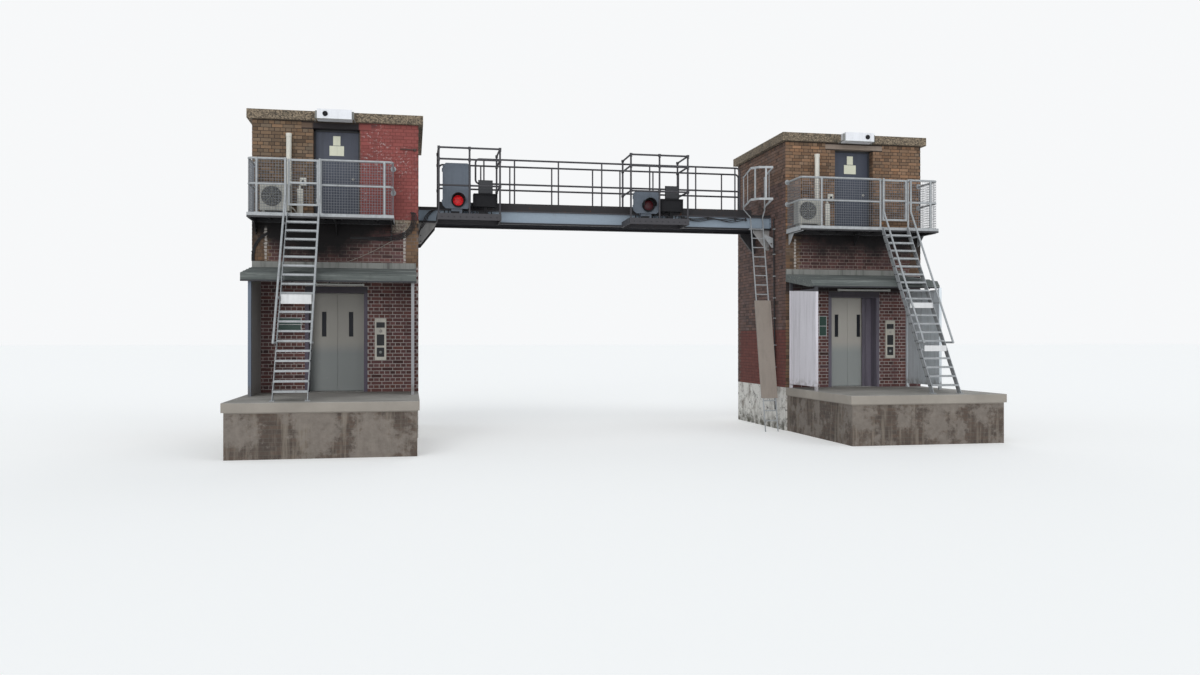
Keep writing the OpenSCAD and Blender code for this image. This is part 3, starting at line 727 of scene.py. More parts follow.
# Colour, dirt, roughness and rust of the coated sheets
SHEETS = {
    "flashing": ((0.235, 0.238, 0.222), 0.75, 0.7),
    "mesh_wire": ((0.180, 0.190, 0.208), 0.3, 0.55),
    "gantry_floor": ((0.020, 0.018, 0.020), 0.4, 0.8, 0.6),
    "slate_door": ((0.045, 0.052, 0.076), 0.35, 0.45),
    "cream_enamel": ((0.60, 0.57, 0.50), 0.35, 0.40),
    "white_screen": ((0.62, 0.60, 0.64), 0.22, 0.48),
    "grey_screen": ((0.185, 0.205, 0.215), 0.28, 0.48),
    "green_plate": ((0.018, 0.060, 0.044), 0.12, 0.4),
    "black_plate": ((0.026, 0.027, 0.031), 0.15, 0.5),
    "rusty_iron": ((0.075, 0.045, 0.040), 0.3, 0.8, 1.0),
    # Near black for soot and painted shade under the balcony decks
    "soot_and_shade_underside": ((0.020, 0.019, 0.021), 0.3, 0.85, 0.2),
    "signal_grey": ((0.108, 0.130, 0.162), 0.35, 0.5),
    "black_case": ((0.004, 0.004, 0.006), 0.1, 0.75),
    "white_case": ((0.74, 0.75, 0.78), 0.18, 0.38),
    "unit_case": ((0.42, 0.41, 0.365), 0.55, 0.5),
    "vent_plastic": ((0.66, 0.64, 0.57), 0.45, 0.42),
    "guard_paint": ((0.272, 0.232, 0.198), 0.22, 0.6, 0.08),
    "bare_plate": ((0.66, 0.66, 0.52), 0.15, 0.4),
    "white_plate": ((0.68, 0.68, 0.68), 0.2, 0.4),
    "dark_grille": ((0.030, 0.032, 0.035), 0.1, 0.6),
    "black_rubber": ((0.020, 0.019, 0.021), 0.15, 0.65),
}

# Nodes of the frame under their finish. A node that there is on the left and right has its side left off.
NODE_FINISHES = {
    "render_coat": "tower_bases",
    "lintel_stone": "door_lintels",
    "concrete": "motor_room_floors",
    "surround_paint": "lift_door_frames",
    "slate_door": "motor_room_doors",
    "cream_enamel": "call_panels",
    "white_case": "floodlights",
    "unit_case": "air_conditioners",
    "vent_plastic": "vent_pipes",
    "girder_paint": "gantry_girders",
    "bracket_paint": "gantry_brackets",
    "gantry_floor": "gantry_deck cross_beams",
    "gantry_tube": "gantry_rails gantry_posts signal_cage cage_rails",
    "signal_grey": "signal_heads",
    "black_case": "indicator_boxes signal_hoods",
    "guard_paint": "climb_guard",
    "galvanised": "access_ladder ladder_hoops ladder_rungs ladder_grab_rails ladder_clips balcony_rails gate "
    "stair_strings stair_treads stair_rails",
    "mortar": "side_walls back_wall front_piers front_spandrels",
    "aggregate": "roof",
    "stainless": "lift_leaf_a lift_leaf_b",
    "landing_stone": "landing",
    "canopy_cover": "canopy",
    "side_screens": "screens",
    "deck_channel": "balcony_deck",
}
FINISH_OF = {node: name for name, nodes in NODE_FINISHES.items() for node in nodes.split()}


# Modelling


def block(bm, low, high):
    """A box from its lowest to its highest corner"""
    low, high = Vector(low), Vector(high)
    place = Matrix.Translation((low + high) / 2) @ Matrix.Diagonal((*(high - low), 1.0))
    bmesh.ops.create_cube(bm, size=1.0, matrix=place)


def pointed(place, way):
    """Moves a shape to its place and points its Z axis in a direction"""
    return Matrix.Translation(place) @ Vector(way).to_track_quat("Z", "Y").to_matrix().to_4x4()


def rod(bm, start, end, diameter, sides=6):
    """A round or flat-sided bar between two points"""
    start, end = Vector(start), Vector(end)
    run = end - start
    bmesh.ops.create_cone(
        bm,
        cap_ends=True,
        segments=sides,
        radius1=diameter / 2,
        radius2=diameter / 2,
        depth=run.length,
        matrix=pointed((start + end) / 2, run),
    )


def bolt(bm, x, z, start, end, diameter, sides=6):
    """A short rod between two values of Y"""
    rod(bm, (x, start, z), (x, end, z), diameter, sides)


def side_bolt(bm, start, end, y, z, diameter, sides=6):
    """A short rod between two values of X"""
    rod(bm, (start, y, z), (end, y, z), diameter, sides)


def pin(bm, x, y, start, end, diameter, sides=6):
    """A short upright rod"""
    rod(bm, (x, y, start), (x, y, end), diameter, sides)


def hose(bm, points, diameter, sides=8):
    """A tube that follows a bent line"""
    points = [Vector(p) for p in points]
    last = len(points) - 1
    ways = [(points[min(i + 1, last)] - points[max(i - 1, 0)]).normalized() for i in range(last + 1)]
    start, radius = pointed(points[0], ways[0]), diameter / 2
    end = bmesh.ops.create_circle(bm, cap_ends=True, segments=sides, radius=radius, matrix=start)["verts"]
    edges = list({edge for vert in end for edge in vert.link_edges})
    for i in range(1, len(points)):
        grown = bmesh.ops.extrude_edge_only(bm, edges=edges)["geom"]
        ring = [g for g in grown if isinstance(g, bmesh.types.BMVert)]
        edges = [g for g in grown if isinstance(g, bmesh.types.BMEdge)]
        bmesh.ops.translate(bm, verts=ring, vec=points[i] - points[i - 1])
        swing = ways[i - 1].rotation_difference(ways[i]).to_matrix()
        bmesh.ops.rotate(bm, verts=ring, cent=points[i], matrix=swing)
    bmesh.ops.contextual_create(bm, geom=edges)


def spun(small, geom, steps):
    """Spins an outline once round the Z axis and closes it"""
    bmesh.ops.spin(
        small, geom=geom, cent=(0, 0, 0), axis=(0, 0, 1), angle=math.tau, steps=steps, use_merge=True
    )
    bmesh.ops.remove_doubles(small, verts=small.verts, dist=1e-5)
    bmesh.ops.recalc_face_normals(small, faces=small.faces)


def hoop(bm, centre, radius, wire):
    """A ring of round wire that faces the front"""
    small = bmesh.new()
    place = Matrix.Translation((radius, 0, 0)) @ Matrix.Rotation(math.pi / 2, 4, "X")
    made = bmesh.ops.create_circle(small, cap_ends=False, segments=6, radius=wire / 2, matrix=place)["verts"]
    spun(small, made + list({edge for vert in made for edge in vert.link_edges}), 28)
    append(bm, small, pointed(centre, FORWARD))


def turned(bm, profile, centre, steps=20, way=FORWARD):
    """A solid of revolution from (radius, height) points about an axis"""
    small = bmesh.new()
    corners = [small.verts.new((r, 0, h)) for r, h in profile]
    edges = [small.edges.new(ends) for ends in zip(corners, corners[1:] + corners[:1])]
    spun(small, corners + edges, steps)
    append(bm, small, pointed(centre, way))


def disc(bm, centre, radius, depth, steps=20, way=FORWARD):
    """A flat round plate"""
    turned(bm, [(0.0, 0.0), (radius, 0.0), (radius, depth), (0.0, depth)], centre, steps, way)


def append(bm, small, place=None):
    """Adds a small bmesh to a larger one, moved into its place"""
    if place is not None:
        bmesh.ops.transform(small, matrix=place, verts=small.verts)
    mesh = bpy.data.meshes.new("part")
    small.to_mesh(mesh)
    small.free()
    bm.from_mesh(mesh)
    bpy.data.meshes.remove(mesh)


def soften(bm, width, segments=1):
    """Rounds every sharp edge a little"""
    sharp = [e for e in bm.edges if len(e.link_faces) == 2 and e.calc_face_angle(0.0) > 0.6]
    bmesh.ops.bevel(
        bm,
        geom=sharp,
        offset=width,
        offset_type="OFFSET",
        segments=segments,
        profile=0.5,
        affect="EDGES",
        material=-1,
    )


def evenly(first, last, count):
    """Values at even steps from the first to the last"""
    return [first + (last - first) * k / (count - 1) for k in range(count)]


def around(x, z, radius, count, first=0):
    """Places on an upright circle, of which the first is at an angle in degrees"""
    turns = [math.radians(first + 360 * k / count) for k in range(count)]
    return [(x + radius * math.cos(turn), z + radius * math.sin(turn)) for turn in turns]


def piece(name, bm, finish_name, slot, body=STRUCTURE, smooth=0.0):
    """Turns a bmesh into a finished piece that rides on a body of the frame"""
    mesh = bpy.data.meshes.new(name)
    bm.to_mesh(mesh)
    bm.free()
    mesh.materials.append(material(finish_name))
    if smooth:
        mesh.shade_smooth()
        mesh.set_sharp_from_angle(angle=smooth)
    made = bpy.data.objects.new(name, mesh)
    bpy.context.scene.collection.objects.link(made)
    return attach(made, body)


@contextmanager
def new_piece(name, finish_name, slot, body=STRUCTURE, smooth=0.0):
    """Gives an empty bmesh to model in, and makes the piece when that is done"""
    bm = bmesh.new()
    yield bm
    piece(name, bm, finish_name, slot, body, smooth)


# Bricks


def front_brick(tower, u, z):
    """Colour of the front bricks before each gets its own shade. u runs from the wall's left corner."""
    brown, red = Vector(COLOURS.brown_brick), Vector(COLOURS.red_brick)
    above_canopy = z > CANOPY_TOP
    if z > DECK_LOW:
        return brown if tower == "right" else Vector((brown[0] * 0.84, brown[1] * 0.93, brown[2] * 0.98))
    if min(u, WALL_WIDTH - u) < PIER_WIDTH and above_canopy:
        return brown * (0.8 if tower == "left" else 0.62)
    if tower == "right" and u < 0.09:
        return brown * 0.62
    return red * (0.76 if tower == "right" and above_canopy else 1.0)


def brick_shade(tower, face, u, z, chance):
    """Colour of one brick from the wall that it is in and its place there"""
    brown, soot_and_shade_mask = Vector(COLOURS.brown_brick), Vector(COLOURS.side_brick)
    spread = chance.gauss(1.0, 0.15)
    if face == "front" and tower == "left" and u > DOOR_HOLE[1] and z > DECK_TOP:
        return scaled(COLOURS.red_paint, chance.gauss(1.0, 0.06))
    if face == "inner" and tower == "right" and u > RED_SIDE_START and z < RED_SIDE_TOP:
        return scaled((0.125, 0.034, 0.026), chance.gauss(1.0, 0.08))
    if face == "reveal":
        base = brown * 0.8
    elif face == "front":
        base = front_brick(tower, u, z)
    else:
        base = soot_and_shade_mask if z < 5.8 else soot_and_shade_mask * 0.6 + brown * 0.4
    if chance.random() < 0.09:
        spread *= 0.58
    elif chance.random() < 0.05:
        spread *= 1.20
    warm = chance.gauss(0.0, 0.05)
    return tuple(max(0.004, c * spread * (1 + warm * k)) for c, k in zip(base, (1, 0, -1)))


def front_spans(z):
    """Parts of a front wall that are brick at a height, from its left corner"""
    if LIFT_HOLE_TOP < z < DECK_TOP:
        return [(0.0, WALL_WIDTH)]
    hole = LIFT_HOLE if z < LIFT_HOLE_TOP else DOOR_HOLE if z < DOOR_TOP else LINTEL_HOLE
    return [(0.0, hole[0]), (hole[1], WALL_WIDTH)]


def jamb_spans(z):
    """A jamb of the motor room doorway is brick from the deck to the lintel"""
    return [(0.0, JAMB_DEPTH)] if DECK_TOP + 0.04 < z < DOOR_TOP else []


def lay_bricks(name, tower, face, corner, angle, width, spans_at=None):
    """One wall of bricks in English bond: a course of headers, then a course of stretchers"""
    sizes, chance = SIZES, random.Random(name)
    length, course, joint = sizes.brick_length, sizes.course, sizes.joint
    bm, shades = bmesh.new(), []
    for row in range(int((BRICK_TOP - LANDING_TOP) / course)):
        z = LANDING_TOP + row * course
        step = length / 2 if row % 2 else length
        small = bmesh.new()
        for first, last in spans_at(z + course / 2) if spans_at else [(0.0, width)]:
            u = math.floor(first / step) * step + (0.0 if row % 2 else -length / 4)
            while u < last:
                a, b = max(u, first - sizes.proud * (first == 0.0)), min(u + step - joint, last)
                if last == width and u + step > width - 0.02:
                    b = width + sizes.proud
                if b - a > 0.03:
                    face_out = -sizes.proud + chance.gauss(0, 0.0006)
                    block(small, (a, face_out, z), (b, 0.008, z + course - joint))
                    shades.append(brick_shade(tower, face, (a + b) / 2, z, chance))
                u += step
        append(bm, small)
    place = Matrix.Translation(corner) @ Matrix.Rotation(angle, 4, "Z")
    bmesh.ops.transform(bm, matrix=place, verts=bm.verts)
    wall = piece(name, bm, "brickwork", "red_brick" if face == "front" else "brick")
    colours = wall.data.attributes.new("brick_colour", "FLOAT_COLOR", "FACE")
    colours.data.foreach_set("color", [v for shade in shades for _ in range(6) for v in (*shade, 1.0)])


class TOWERS_OT_bricks(bpy.types.Operator):
    """Lays the bricks of both towers"""

    bl_idname = "towers.bricks"
    bl_label = "Lay the Bricks"

    def execute(self, context):
        quarter = math.pi / 2
        for tower, centre in TOWERS.items():
            left, right = centre - WALL_WIDTH / 2, centre + WALL_WIDTH / 2
            on_left, on_right = ("outer", "inner") if tower == "left" else ("inner", "outer")
            for face, corner, angle, width, spans_at in (
                ("front", (left, 0, 0), 0.0, WALL_WIDTH, front_spans),
                (on_right, (right, 0, 0), quarter, WALL_DEPTH, None),
                ("back", (right, WALL_DEPTH, 0), math.pi, WALL_WIDTH, None),
                (on_left, (left, WALL_DEPTH, 0), -quarter, WALL_DEPTH, None),
            ):
                lay_bricks(f"{tower}_{face}_bricks", tower, face, corner, angle, width, spans_at)
            for side, corner, angle in (
                ("left", (centre - DOOR_HALF, 0, 0), quarter),
                ("right", (centre + DOOR_HALF, JAMB_DEPTH, 0), -quarter),
            ):
                lay_bricks(f"{tower}_{side}_jamb", tower, "reveal", corner, angle, JAMB_DEPTH, jamb_spans)
        return {"FINISHED"}


class TOWERS_OT_frame_finishes(bpy.types.Operator):
    """Gives every part of the frame its paint, stone, steel or mortar"""

    bl_idname = "towers.frame_finishes"
    bl_label = "Paint the Frame"

    def execute(self, context):
        for node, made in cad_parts.items():
            made.data.materials.clear()
            made.data.materials.append(material(FINISH_OF.get(node) or FINISH_OF[node.partition("_")[2]]))
        return {"FINISHED"}


# Balconies


def rail_lines(tower):
    """Middle lines of the two end posts, of the front rail and of the top rail"""
    low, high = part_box(f"{tower}_balcony_rails")
    return low.x + HALF_TUBE, high.x - HALF_TUBE, low.y + HALF_TUBE, high.z - HALF_TUBE


def woven(bm, low, high, across=0):
    """Woven wire between two corners. across is the direction of the level wires, 0 for X or 1 for Y."""
    low, high = Vector(low), Vector(high)
    count = max(1, round((high[across] - low[across]) / SIZES.mesh_pitch))
    for place in evenly(low[across], high[across], count + 1):
        at = low.copy()
        at[across] = place
        pin(bm, at.x, at.y, low.z, high.z, SIZES.wire, 4)
    count = max(1, round((high.z - low.z) / SIZES.mesh_pitch))
    for z in evenly(low.z, high.z, count + 1):
        rod(bm, (low.x, low.y, z), (high.x, high.y, z), SIZES.wire, 4)


def rail_mesh(tower):
    """Wire in the front rail on both sides of the gate, and in the side rails"""
    left, right, y, top = rail_lines(tower)
    gate_low, gate_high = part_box(f"{tower}_gate")
    bottom, top = DECK_TOP + 0.01, top - 0.03
    with new_piece(f"{tower}_rail_mesh", "mesh_wire", "galvanised") as bm:
        for a, b in ((left, gate_low.x - 0.036), (gate_high.x + 0.036, right)):
            woven(bm, (a + 0.03, y, bottom), (b - 0.03, y, top))
        for x in (left, right):
            woven(bm, (x, y + 0.05, bottom), (x, -0.03, top), 1)


def gate_mesh(tower):
    """Wire in the gate's frame, which swings with the gate"""
    low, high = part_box(f"{tower}_gate")
    y, edge = (low.y + high.y) / 2, 0.03
    with new_piece(f"{tower}_gate_mesh", "mesh_wire", "galvanised", f"{tower}_gate") as bm:
        woven(bm, (low.x + edge, y, low.z + edge), (high.x - edge, y, high.z - edge))


def rail_flanges(tower):
    """Bolted flanges on the wall, collars on the posts and their foot plates"""
    left, right, y, _ = rail_lines(tower)
    with new_piece(f"{tower}_rail_flanges", "galvanised", "galvanised", smooth=0.6) as bm:
        for x in (left, right):
            for z in RAIL_LEVELS:
                disc(bm, (x, -0.004, z), 0.058, 0.008)
                disc(bm, (x, -0.012, z), 0.028, 0.050)
                for bolt_x, bolt_z in around(x, z, 0.043, 4, 45):
                    bolt(bm, bolt_x, bolt_z, -0.010, -0.020, 0.014)
        for x in POSTS[tower]:
            for z in RAIL_LEVELS:
                disc(bm, (x, y, z - 0.052), 0.027, 0.060, 16, UPWARD)
                block(bm, (x - 0.030, y - 0.006, z - 0.040), (x - 0.020, y + 0.006, z - 0.020))
            block(bm, (x - 0.050, y - 0.022, DECK_TOP), (x + 0.050, y + 0.045, DECK_TOP + 0.008))


def deck_joists(tower):
    """Joists below the deck from its front channel to the wall, the end ones deeper"""
    low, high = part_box(f"{tower}_balcony_deck")
    front, back, top, width = low.y + 0.012, -0.012, DECK_TOP - 0.020, 0.040
    # Near black joists: soot and painted shade under the deck
    with new_piece(f"{tower}_deck_joists", "soot_and_shade_underside", "galvanised") as bm:
        for x in evenly(low.x, high.x, 9)[1:-1]:
            block(bm, (x - width / 2, front, top - 0.040), (x + width / 2, back, top))
        for x in (low.x + 0.012, high.x - 0.012 - width):
            block(bm, (x, front, top - 0.070), (x + width, back, top))
        soften(bm, 0.003)


def deck_bolts(tower):
    """Bolts along the edge channel, and those of the knee brackets"""
    low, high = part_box(f"{tower}_balcony_deck")
    with new_piece(f"{tower}_deck_bolts", "galvanised", "galvanised") as bm:
        for x in evenly(low.x + 0.12, high.x - 0.12, 9):
            bolt(bm, x, DECK_TOP - 0.05, low.y - 0.008, low.y + 0.002, 0.026)
        for x in (low.x + 0.06, high.x - 0.06):
            for z in (low.z + 0.03, low.z + 0.11):
                side_bolt(bm, x - 0.010, x + 0.010, -0.03, z, 0.020)


class TOWERS_OT_infill(bpy.types.Operator):
    """Fills the balcony rails and the gates with woven wire, and adds flanges, joists and bolts"""

    bl_idname = "towers.infill"
    bl_label = "Fill the Rails"

    def execute(self, context):
        for tower in TOWERS:
            rail_mesh(tower)
            gate_mesh(tower)
            rail_flanges(tower)
            deck_joists(tower)
            deck_bolts(tower)
        return {"FINISHED"}


# Stairs


def string_front(z):
    """Front edge of the stair strings at a height"""
    return STAIR_TOP - (DECK_TOP - z) * STAIR_RUN / (DECK_TOP - LANDING_TOP)


def stair_fixings(tower):
    """Nosing bars on the treads and bolted foot plates under the strings"""
    low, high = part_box(f"{tower}_stair_treads")
    foot = string_front(LANDING_TOP)
    with new_piece(f"{tower}_stair_fixings", "galvanised", "galvanised") as bm:
        for z in TREADS:
            for k in range(5):
                y = string_front(z) - 0.016 + k * 0.036
                block(bm, (low.x + 0.004, y, z - 0.001), (high.x - 0.004, y + 0.010, z + 0.004))
        for x in (low.x - 0.006, high.x + 0.006):
            block(bm, (x - 0.045, foot - 0.02, LANDING_TOP), (x + 0.045, foot + 0.17, LANDING_TOP + 0.008))
            for back in (0.02, 0.13):
                for side in (-0.033, 0.033):
                    pin(bm, x + side, foot + back, LANDING_TOP + 0.006, LANDING_TOP + 0.020, 0.018)


def stair_bolts(tower):
    """Two bolt heads beside each end of each tread"""
    low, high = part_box(f"{tower}_stair_strings")
    with new_piece(f"{tower}_stair_bolts", "black_plate", "galvanised") as bm:
        for z in TREADS:
            for x, way in ((low.x, -1), (high.x, 1)):
                for back in (0.035, 0.105):
                    y = string_front(z) + back
                    side_bolt(bm, x - way * 0.002, x + way * 0.010, y, z - 0.018, 0.026)


def stair_plate(name, bottom, top, left, right):
    """A bare plate that hangs on the front of the stair"""
    y = string_front(bottom) - 0.030
    with new_piece(name, "white_plate", "white_case") as bm:
        block(bm, (left, y - 0.004, bottom), (right, y, top))
        for x in (left + 0.03, right - 0.03):
            bolt(bm, x, top - 0.03, y - 0.007, y + 0.035, 0.012)
        soften(bm, 0.0012)


class TOWERS_OT_stair_details(bpy.types.Operator):
    """Adds the tread nosings, the bolts and the bare plates of the stairs"""

    bl_idname = "towers.stair_details"
    bl_label = "Detail the Stairs"

    def execute(self, context):
        for tower in TOWERS:
            stair_fixings(tower)
            stair_bolts(tower)
        stair_plate("left_stair_plate", 2.785, 2.965, -6.750, -6.190)
        stair_plate("right_upper_stair_plate", 2.790, 2.905, 6.190, 6.720)
        stair_plate("right_lower_stair_plate", 1.865, 1.985, 6.215, 6.720)
        return {"FINISHED"}


# Canopies and screens


def canopy_flashing(tower, low, high):
    """The upright and level flashing where the canopy meets the wall, with its lapped joints"""
    left, right, top = low.x + 0.005, high.x - 0.005, high.z
    foot = CANOPY_TOP + 0.002
    with new_piece(f"{tower}_canopy_flashing", "flashing", "canopy") as bm:
        block(bm, (left, -0.040, foot), (right, -0.026, top + 0.004))
        block(bm, (left, -0.036, top - 0.002), (right, 0.000, top + 0.012))
        for x in evenly(low.x, high.x, 6)[1:-1]:
            block(bm, (x - 0.03, -0.043, foot + 0.002), (x + 0.03, -0.036, top + 0.008))
        soften(bm, 0.002)


def canopy_ridges(tower, low, high):
    """Round ridges along the cover, which follow its fall to the front, and the roll at its edge"""
    fall = 0.212 / 1.38
    with new_piece(f"{tower}_canopy_ridges", "canopy_cover", "canopy", smooth=0.8) as bm:
        for y in (-0.42, -0.78, -1.12):
            z = CANOPY_TOP + 0.010 + (y + 0.03) * fall
            side_bolt(bm, low.x + 0.004, high.x - 0.004, y, z, 0.034, 10)
        side_bolt(bm, low.x + 0.002, high.x - 0.002, -1.442, 3.398, 0.030, 10)


def canopy_drip(tower, low, high):
    """The drip strip below the front edge, with its clips"""
    edge, foot, top = low.y - 0.004, CANOPY_LOW - 0.024, CANOPY_LOW + 0.012
    with new_piece(f"{tower}_canopy_drip", "black_plate", "canopy", smooth=0.6) as bm:
        block(bm, (low.x, edge - 0.003, CANOPY_LOW), (high.x, edge + 0.004, CANOPY_LOW + 0.026))
        side_bolt(bm, low.x, high.x, edge - 0.004, CANOPY_LOW, 0.018, 8)
        for x in evenly(low.x + 0.25, high.x - 0.25, 5):
            block(bm, (x - 0.008, edge - 0.014, foot), (x + 0.008, edge + 0.020, top))
        soften(bm, 0.003)


def batten_light(tower, left, right):
    """A long lamp under the canopy, with its end caps and brackets"""
    foot, top = CANOPY_LOW, CANOPY_LOW + 0.040
    with new_piece(f"{tower}_batten_light", "tube_light", "white_case", smooth=0.6) as bm:
        block(bm, (left, -0.068, foot), (right, -0.022, top))
        soften(bm, 0.010, 3)
        for x in (left + 0.02, right - 0.02):
            block(bm, (x - 0.022, -0.072, foot - 0.004), (x + 0.022, -0.018, top + 0.004))
        for x in (left + 0.2, right - 0.2):
            block(bm, (x - 0.02, -0.030, foot + 0.006), (x + 0.02, -0.002, top - 0.006))


def screen_ribs():
    """Upright ribs on both faces of the white screen"""
    foot, top = LANDING_TOP + 0.10, CANOPY_LOW - 0.045
    with new_piece("right_screen_ribs", "white_screen", "screen") as bm:
        for y in evenly(-1.395, -0.243, 13):
            for left, right in ((4.225, 4.231), (4.249, 4.255)):
                block(bm, (left, y - 0.010, foot), (right, y + 0.010, top))
        soften(bm, 0.0015)


def rivet_rows(bm, faces, rows, first, step, count, diameter):
    """Upright rows of rivets on the faces of a screen, each given by its X and the way it looks"""
    for x, way in faces:
        for y in rows:
            for k in range(count):
                side_bolt(bm, x - way * 0.001, x + way * 0.004, y, first + k * step, diameter, 8)


def screen_rivets():
    """Rivets on the grey screen of the right tower and on both screens of the left one"""
    left_faces = ((-7.430, -1), (-7.410, 1), (-4.310, -1), (-4.290, 1))
    with new_piece("screen_rivets", "grey_screen", "screen") as bm:
        rivet_rows(bm, ((7.140, -1), (7.160, 1)), (-1.41, -0.86, -0.30), 1.18, 0.115, 18, 0.016)
        rivet_rows(bm, left_faces, (-1.16, -0.62, -0.10), 1.12, 0.130, 16, 0.014)


class TOWERS_OT_canopy_trim(bpy.types.Operator):
    """Adds the flashings, ridges, drips and lights of the canopies and the ribs and rivets of the screens"""

    bl_idname = "towers.canopy_trim"
    bl_label = "Trim the Canopies"

    def execute(self, context):
        for tower, lamp_ends in (("left", (-6.30, -5.31)), ("right", (5.46, 6.77))):
            low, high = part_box(f"{tower}_canopy")
            canopy_flashing(tower, low, high)
            canopy_ridges(tower, low, high)
            canopy_drip(tower, low, high)
            batten_light(tower, *lamp_ends)
        screen_ribs()
        screen_rivets()
        return {"FINISHED"}


# Wall units


def fan_guard(bm, x, y, radius):
    """Hoops and spokes of wire before a fan"""
    for k in range(1, 9):
        hoop(bm, (x, y, FAN_LEVEL), radius * k / 8, 0.005)
    for inner, outer in zip(around(x, FAN_LEVEL, 0.02, 8), around(x, FAN_LEVEL, radius, 8)):
        rod(bm, (inner[0], y, inner[1]), (outer[0], y, outer[1]), 0.005, 4)


def fan(tower, left, front):
    """A near black disc as painted shade in the hole, the hub with its blades, and the guard with the
    louvres, lid and skirt of the casing
    """
    x, eye = left + FAN_IN, (left + FAN_IN, front + 0.024, FAN_LEVEL)
    # A near black disc stands for the shade inside the fan's hole
    with new_piece(f"{tower}_fan_shade_disc", "dark_grille", "unit_case") as bm:
        disc(bm, eye, 0.203, 0.003, 40)
    with new_piece(f"{tower}_fan_hub", "black_case", "black_box", smooth=0.6) as bm:
        turned(bm, [(0.0, 0.004), (0.045, 0.004), (0.040, 0.014), (0.0, 0.016)], eye)
        y = front + 0.016
        for tip_x, tip_z in around(x, FAN_LEVEL, 0.18, 3, 20):
            rod(bm, (x, y, FAN_LEVEL), (tip_x, y, tip_z), 0.014)
    with new_piece(f"{tower}_fan_guard", "unit_case", "unit_case") as bm:
        fan_guard(bm, x, front - 0.004, 0.212)
        right = left + UNIT_WIDTH
        for k in range(13):
            z = UNIT_FOOT + 0.04 + k * 0.036
            block(bm, (right - 0.102, front - 0.005, z), (right - 0.022, front + 0.002, z + 0.014))
        lid = UNIT_TOP + 0.003
        block(bm, (left - 0.004, front - 0.004, lid - 0.020), (right + 0.004, front + 0.284, lid))
        skirt = UNIT_FOOT - 0.002
        block(bm, (left - 0.002, front - 0.003, skirt), (right + 0.002, front + 0.002, skirt + 0.018))
        for k in range(9):
            z = UNIT_FOOT + 0.10 + k * 0.045
            block(bm, (left - 0.004, front + 0.05, z), (left + 0.002, front + 0.23, z + 0.016))


def unit_wiring(tower, left, front):
    """The trunking, the isolator with its knob and the hose that joins the unit to them"""
    x = TRUNKING[tower]
    with new_piece(f"{tower}_trunking", "vent_plastic", "unit_case", smooth=0.6) as bm:
        block(bm, (x - 0.060, -0.060, 4.74), (x + 0.060, -0.002, 5.27))
        soften(bm, 0.006, 2)
        block(bm, (x - 0.064, -0.063, 4.98), (x + 0.064, -0.002, 5.01))
    with new_piece(f"{tower}_isolator_box", "vent_plastic", "unit_case", smooth=0.6) as bm:
        block(bm, (x, -0.085, 5.33), (x + 0.13, -0.002, 5.50))
        soften(bm, 0.010, 3)
        block(bm, (x - 0.02, -0.045, 5.26), (x + 0.02, -0.002, 5.34))
    with new_piece(f"{tower}_isolator_knob", "black_case", "black_box", smooth=0.6) as bm:
        bolt(bm, x + 0.065, 5.415, -0.084, -0.096, 0.056, 16)
        block(bm, (x + 0.055, -0.108, 5.392), (x + 0.075, -0.094, 5.438))
    with new_piece(f"{tower}_unit_hose", "vent_plastic", "unit_case", smooth=0.8) as bm:
        right = left + UNIT_WIDTH
        route = [
            (right, front + 0.20, 4.84),
            (right + 0.04, front + 0.20, 4.84),
            (right + 0.08, front + 0.24, 4.80),
            (right + 0.10, front + 0.33, 4.76),
            (right + 0.12, -0.030, 4.74),
            (x - 0.08, -0.030, 4.76),
        ]
        hose(bm, route, 0.030)


def floodlight(tower, lens_x):
    """The eye of a floodlight, and the brackets that hold its box"""
    low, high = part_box("floodlights")
    left, right = (low.x, low.x + 0.70) if tower == "left" else (high.x - 0.70, high.x)
    with new_piece(f"{tower}_lamp_eye", "black_case", "black_box", smooth=0.6) as bm:
        eye = [(0.0, 0.0), (0.052, 0.0), (0.052, 0.02), (0.040, 0.026), (0.034, 0.016), (0.0, 0.016)]
        turned(bm, eye, (lens_x, low.y, high.z - 0.10), 32)
    with new_piece(f"{tower}_lamp_bracket", "flashing", "galvanised") as bm:
        for x, way in ((left, -1), (right, 1)):
            a, b = sorted((x, x + way * 0.045))
            block(bm, (a, low.y + 0.05, low.z + 0.02), (b, low.y + 0.06, high.z - 0.03))
            rod(bm, (x + way * 0.04, low.y + 0.055, low.z + 0.03), (x + way * 0.06, -0.102, low.z), 0.022, 8)
        block(bm, (left - 0.004, low.y - 0.004, low.z - 0.002), (right + 0.004, low.y + 0.014, low.z + 0.012))
        soften(bm, 0.002)


def green_plate(name, left, right, bottom, top):
    """A bare green plate in two halves on a white one"""
    with new_piece(f"{name}_edge", "white_plate", "white_case") as bm:
        block(bm, (left, -0.014, bottom), (right, -0.003, top))
        soften(bm, 0.002)
    middle = (bottom + top) / 2
    with new_piece(name, "green_plate", "call_panel") as bm:
        for low, high in ((bottom + 0.012, middle - 0.006), (middle + 0.006, top - 0.012)):
            block(bm, (left + 0.012, -0.0165, low), (right - 0.012, -0.013, high))


def wall_iron():
    """A rusty iron with bent ends and a plate, high on the left tower"""
    route = [
        (-4.55, -0.002, 6.182),
        (-4.55, -0.034, 6.184),
        (-4.53, -0.040, 6.185),
        (-4.27, -0.040, 6.176),
        (-4.24, -0.034, 6.175),
        (-4.23, -0.002, 6.175),
    ]
    with new_piece("left_wall_iron", "rusty_iron", "dark_steel", smooth=0.8) as bm:
        hose(bm, route, 0.024)
        block(bm, (-4.290, -0.030, 6.145), (-4.225, -0.002, 6.205))
        soften(bm, 0.002)


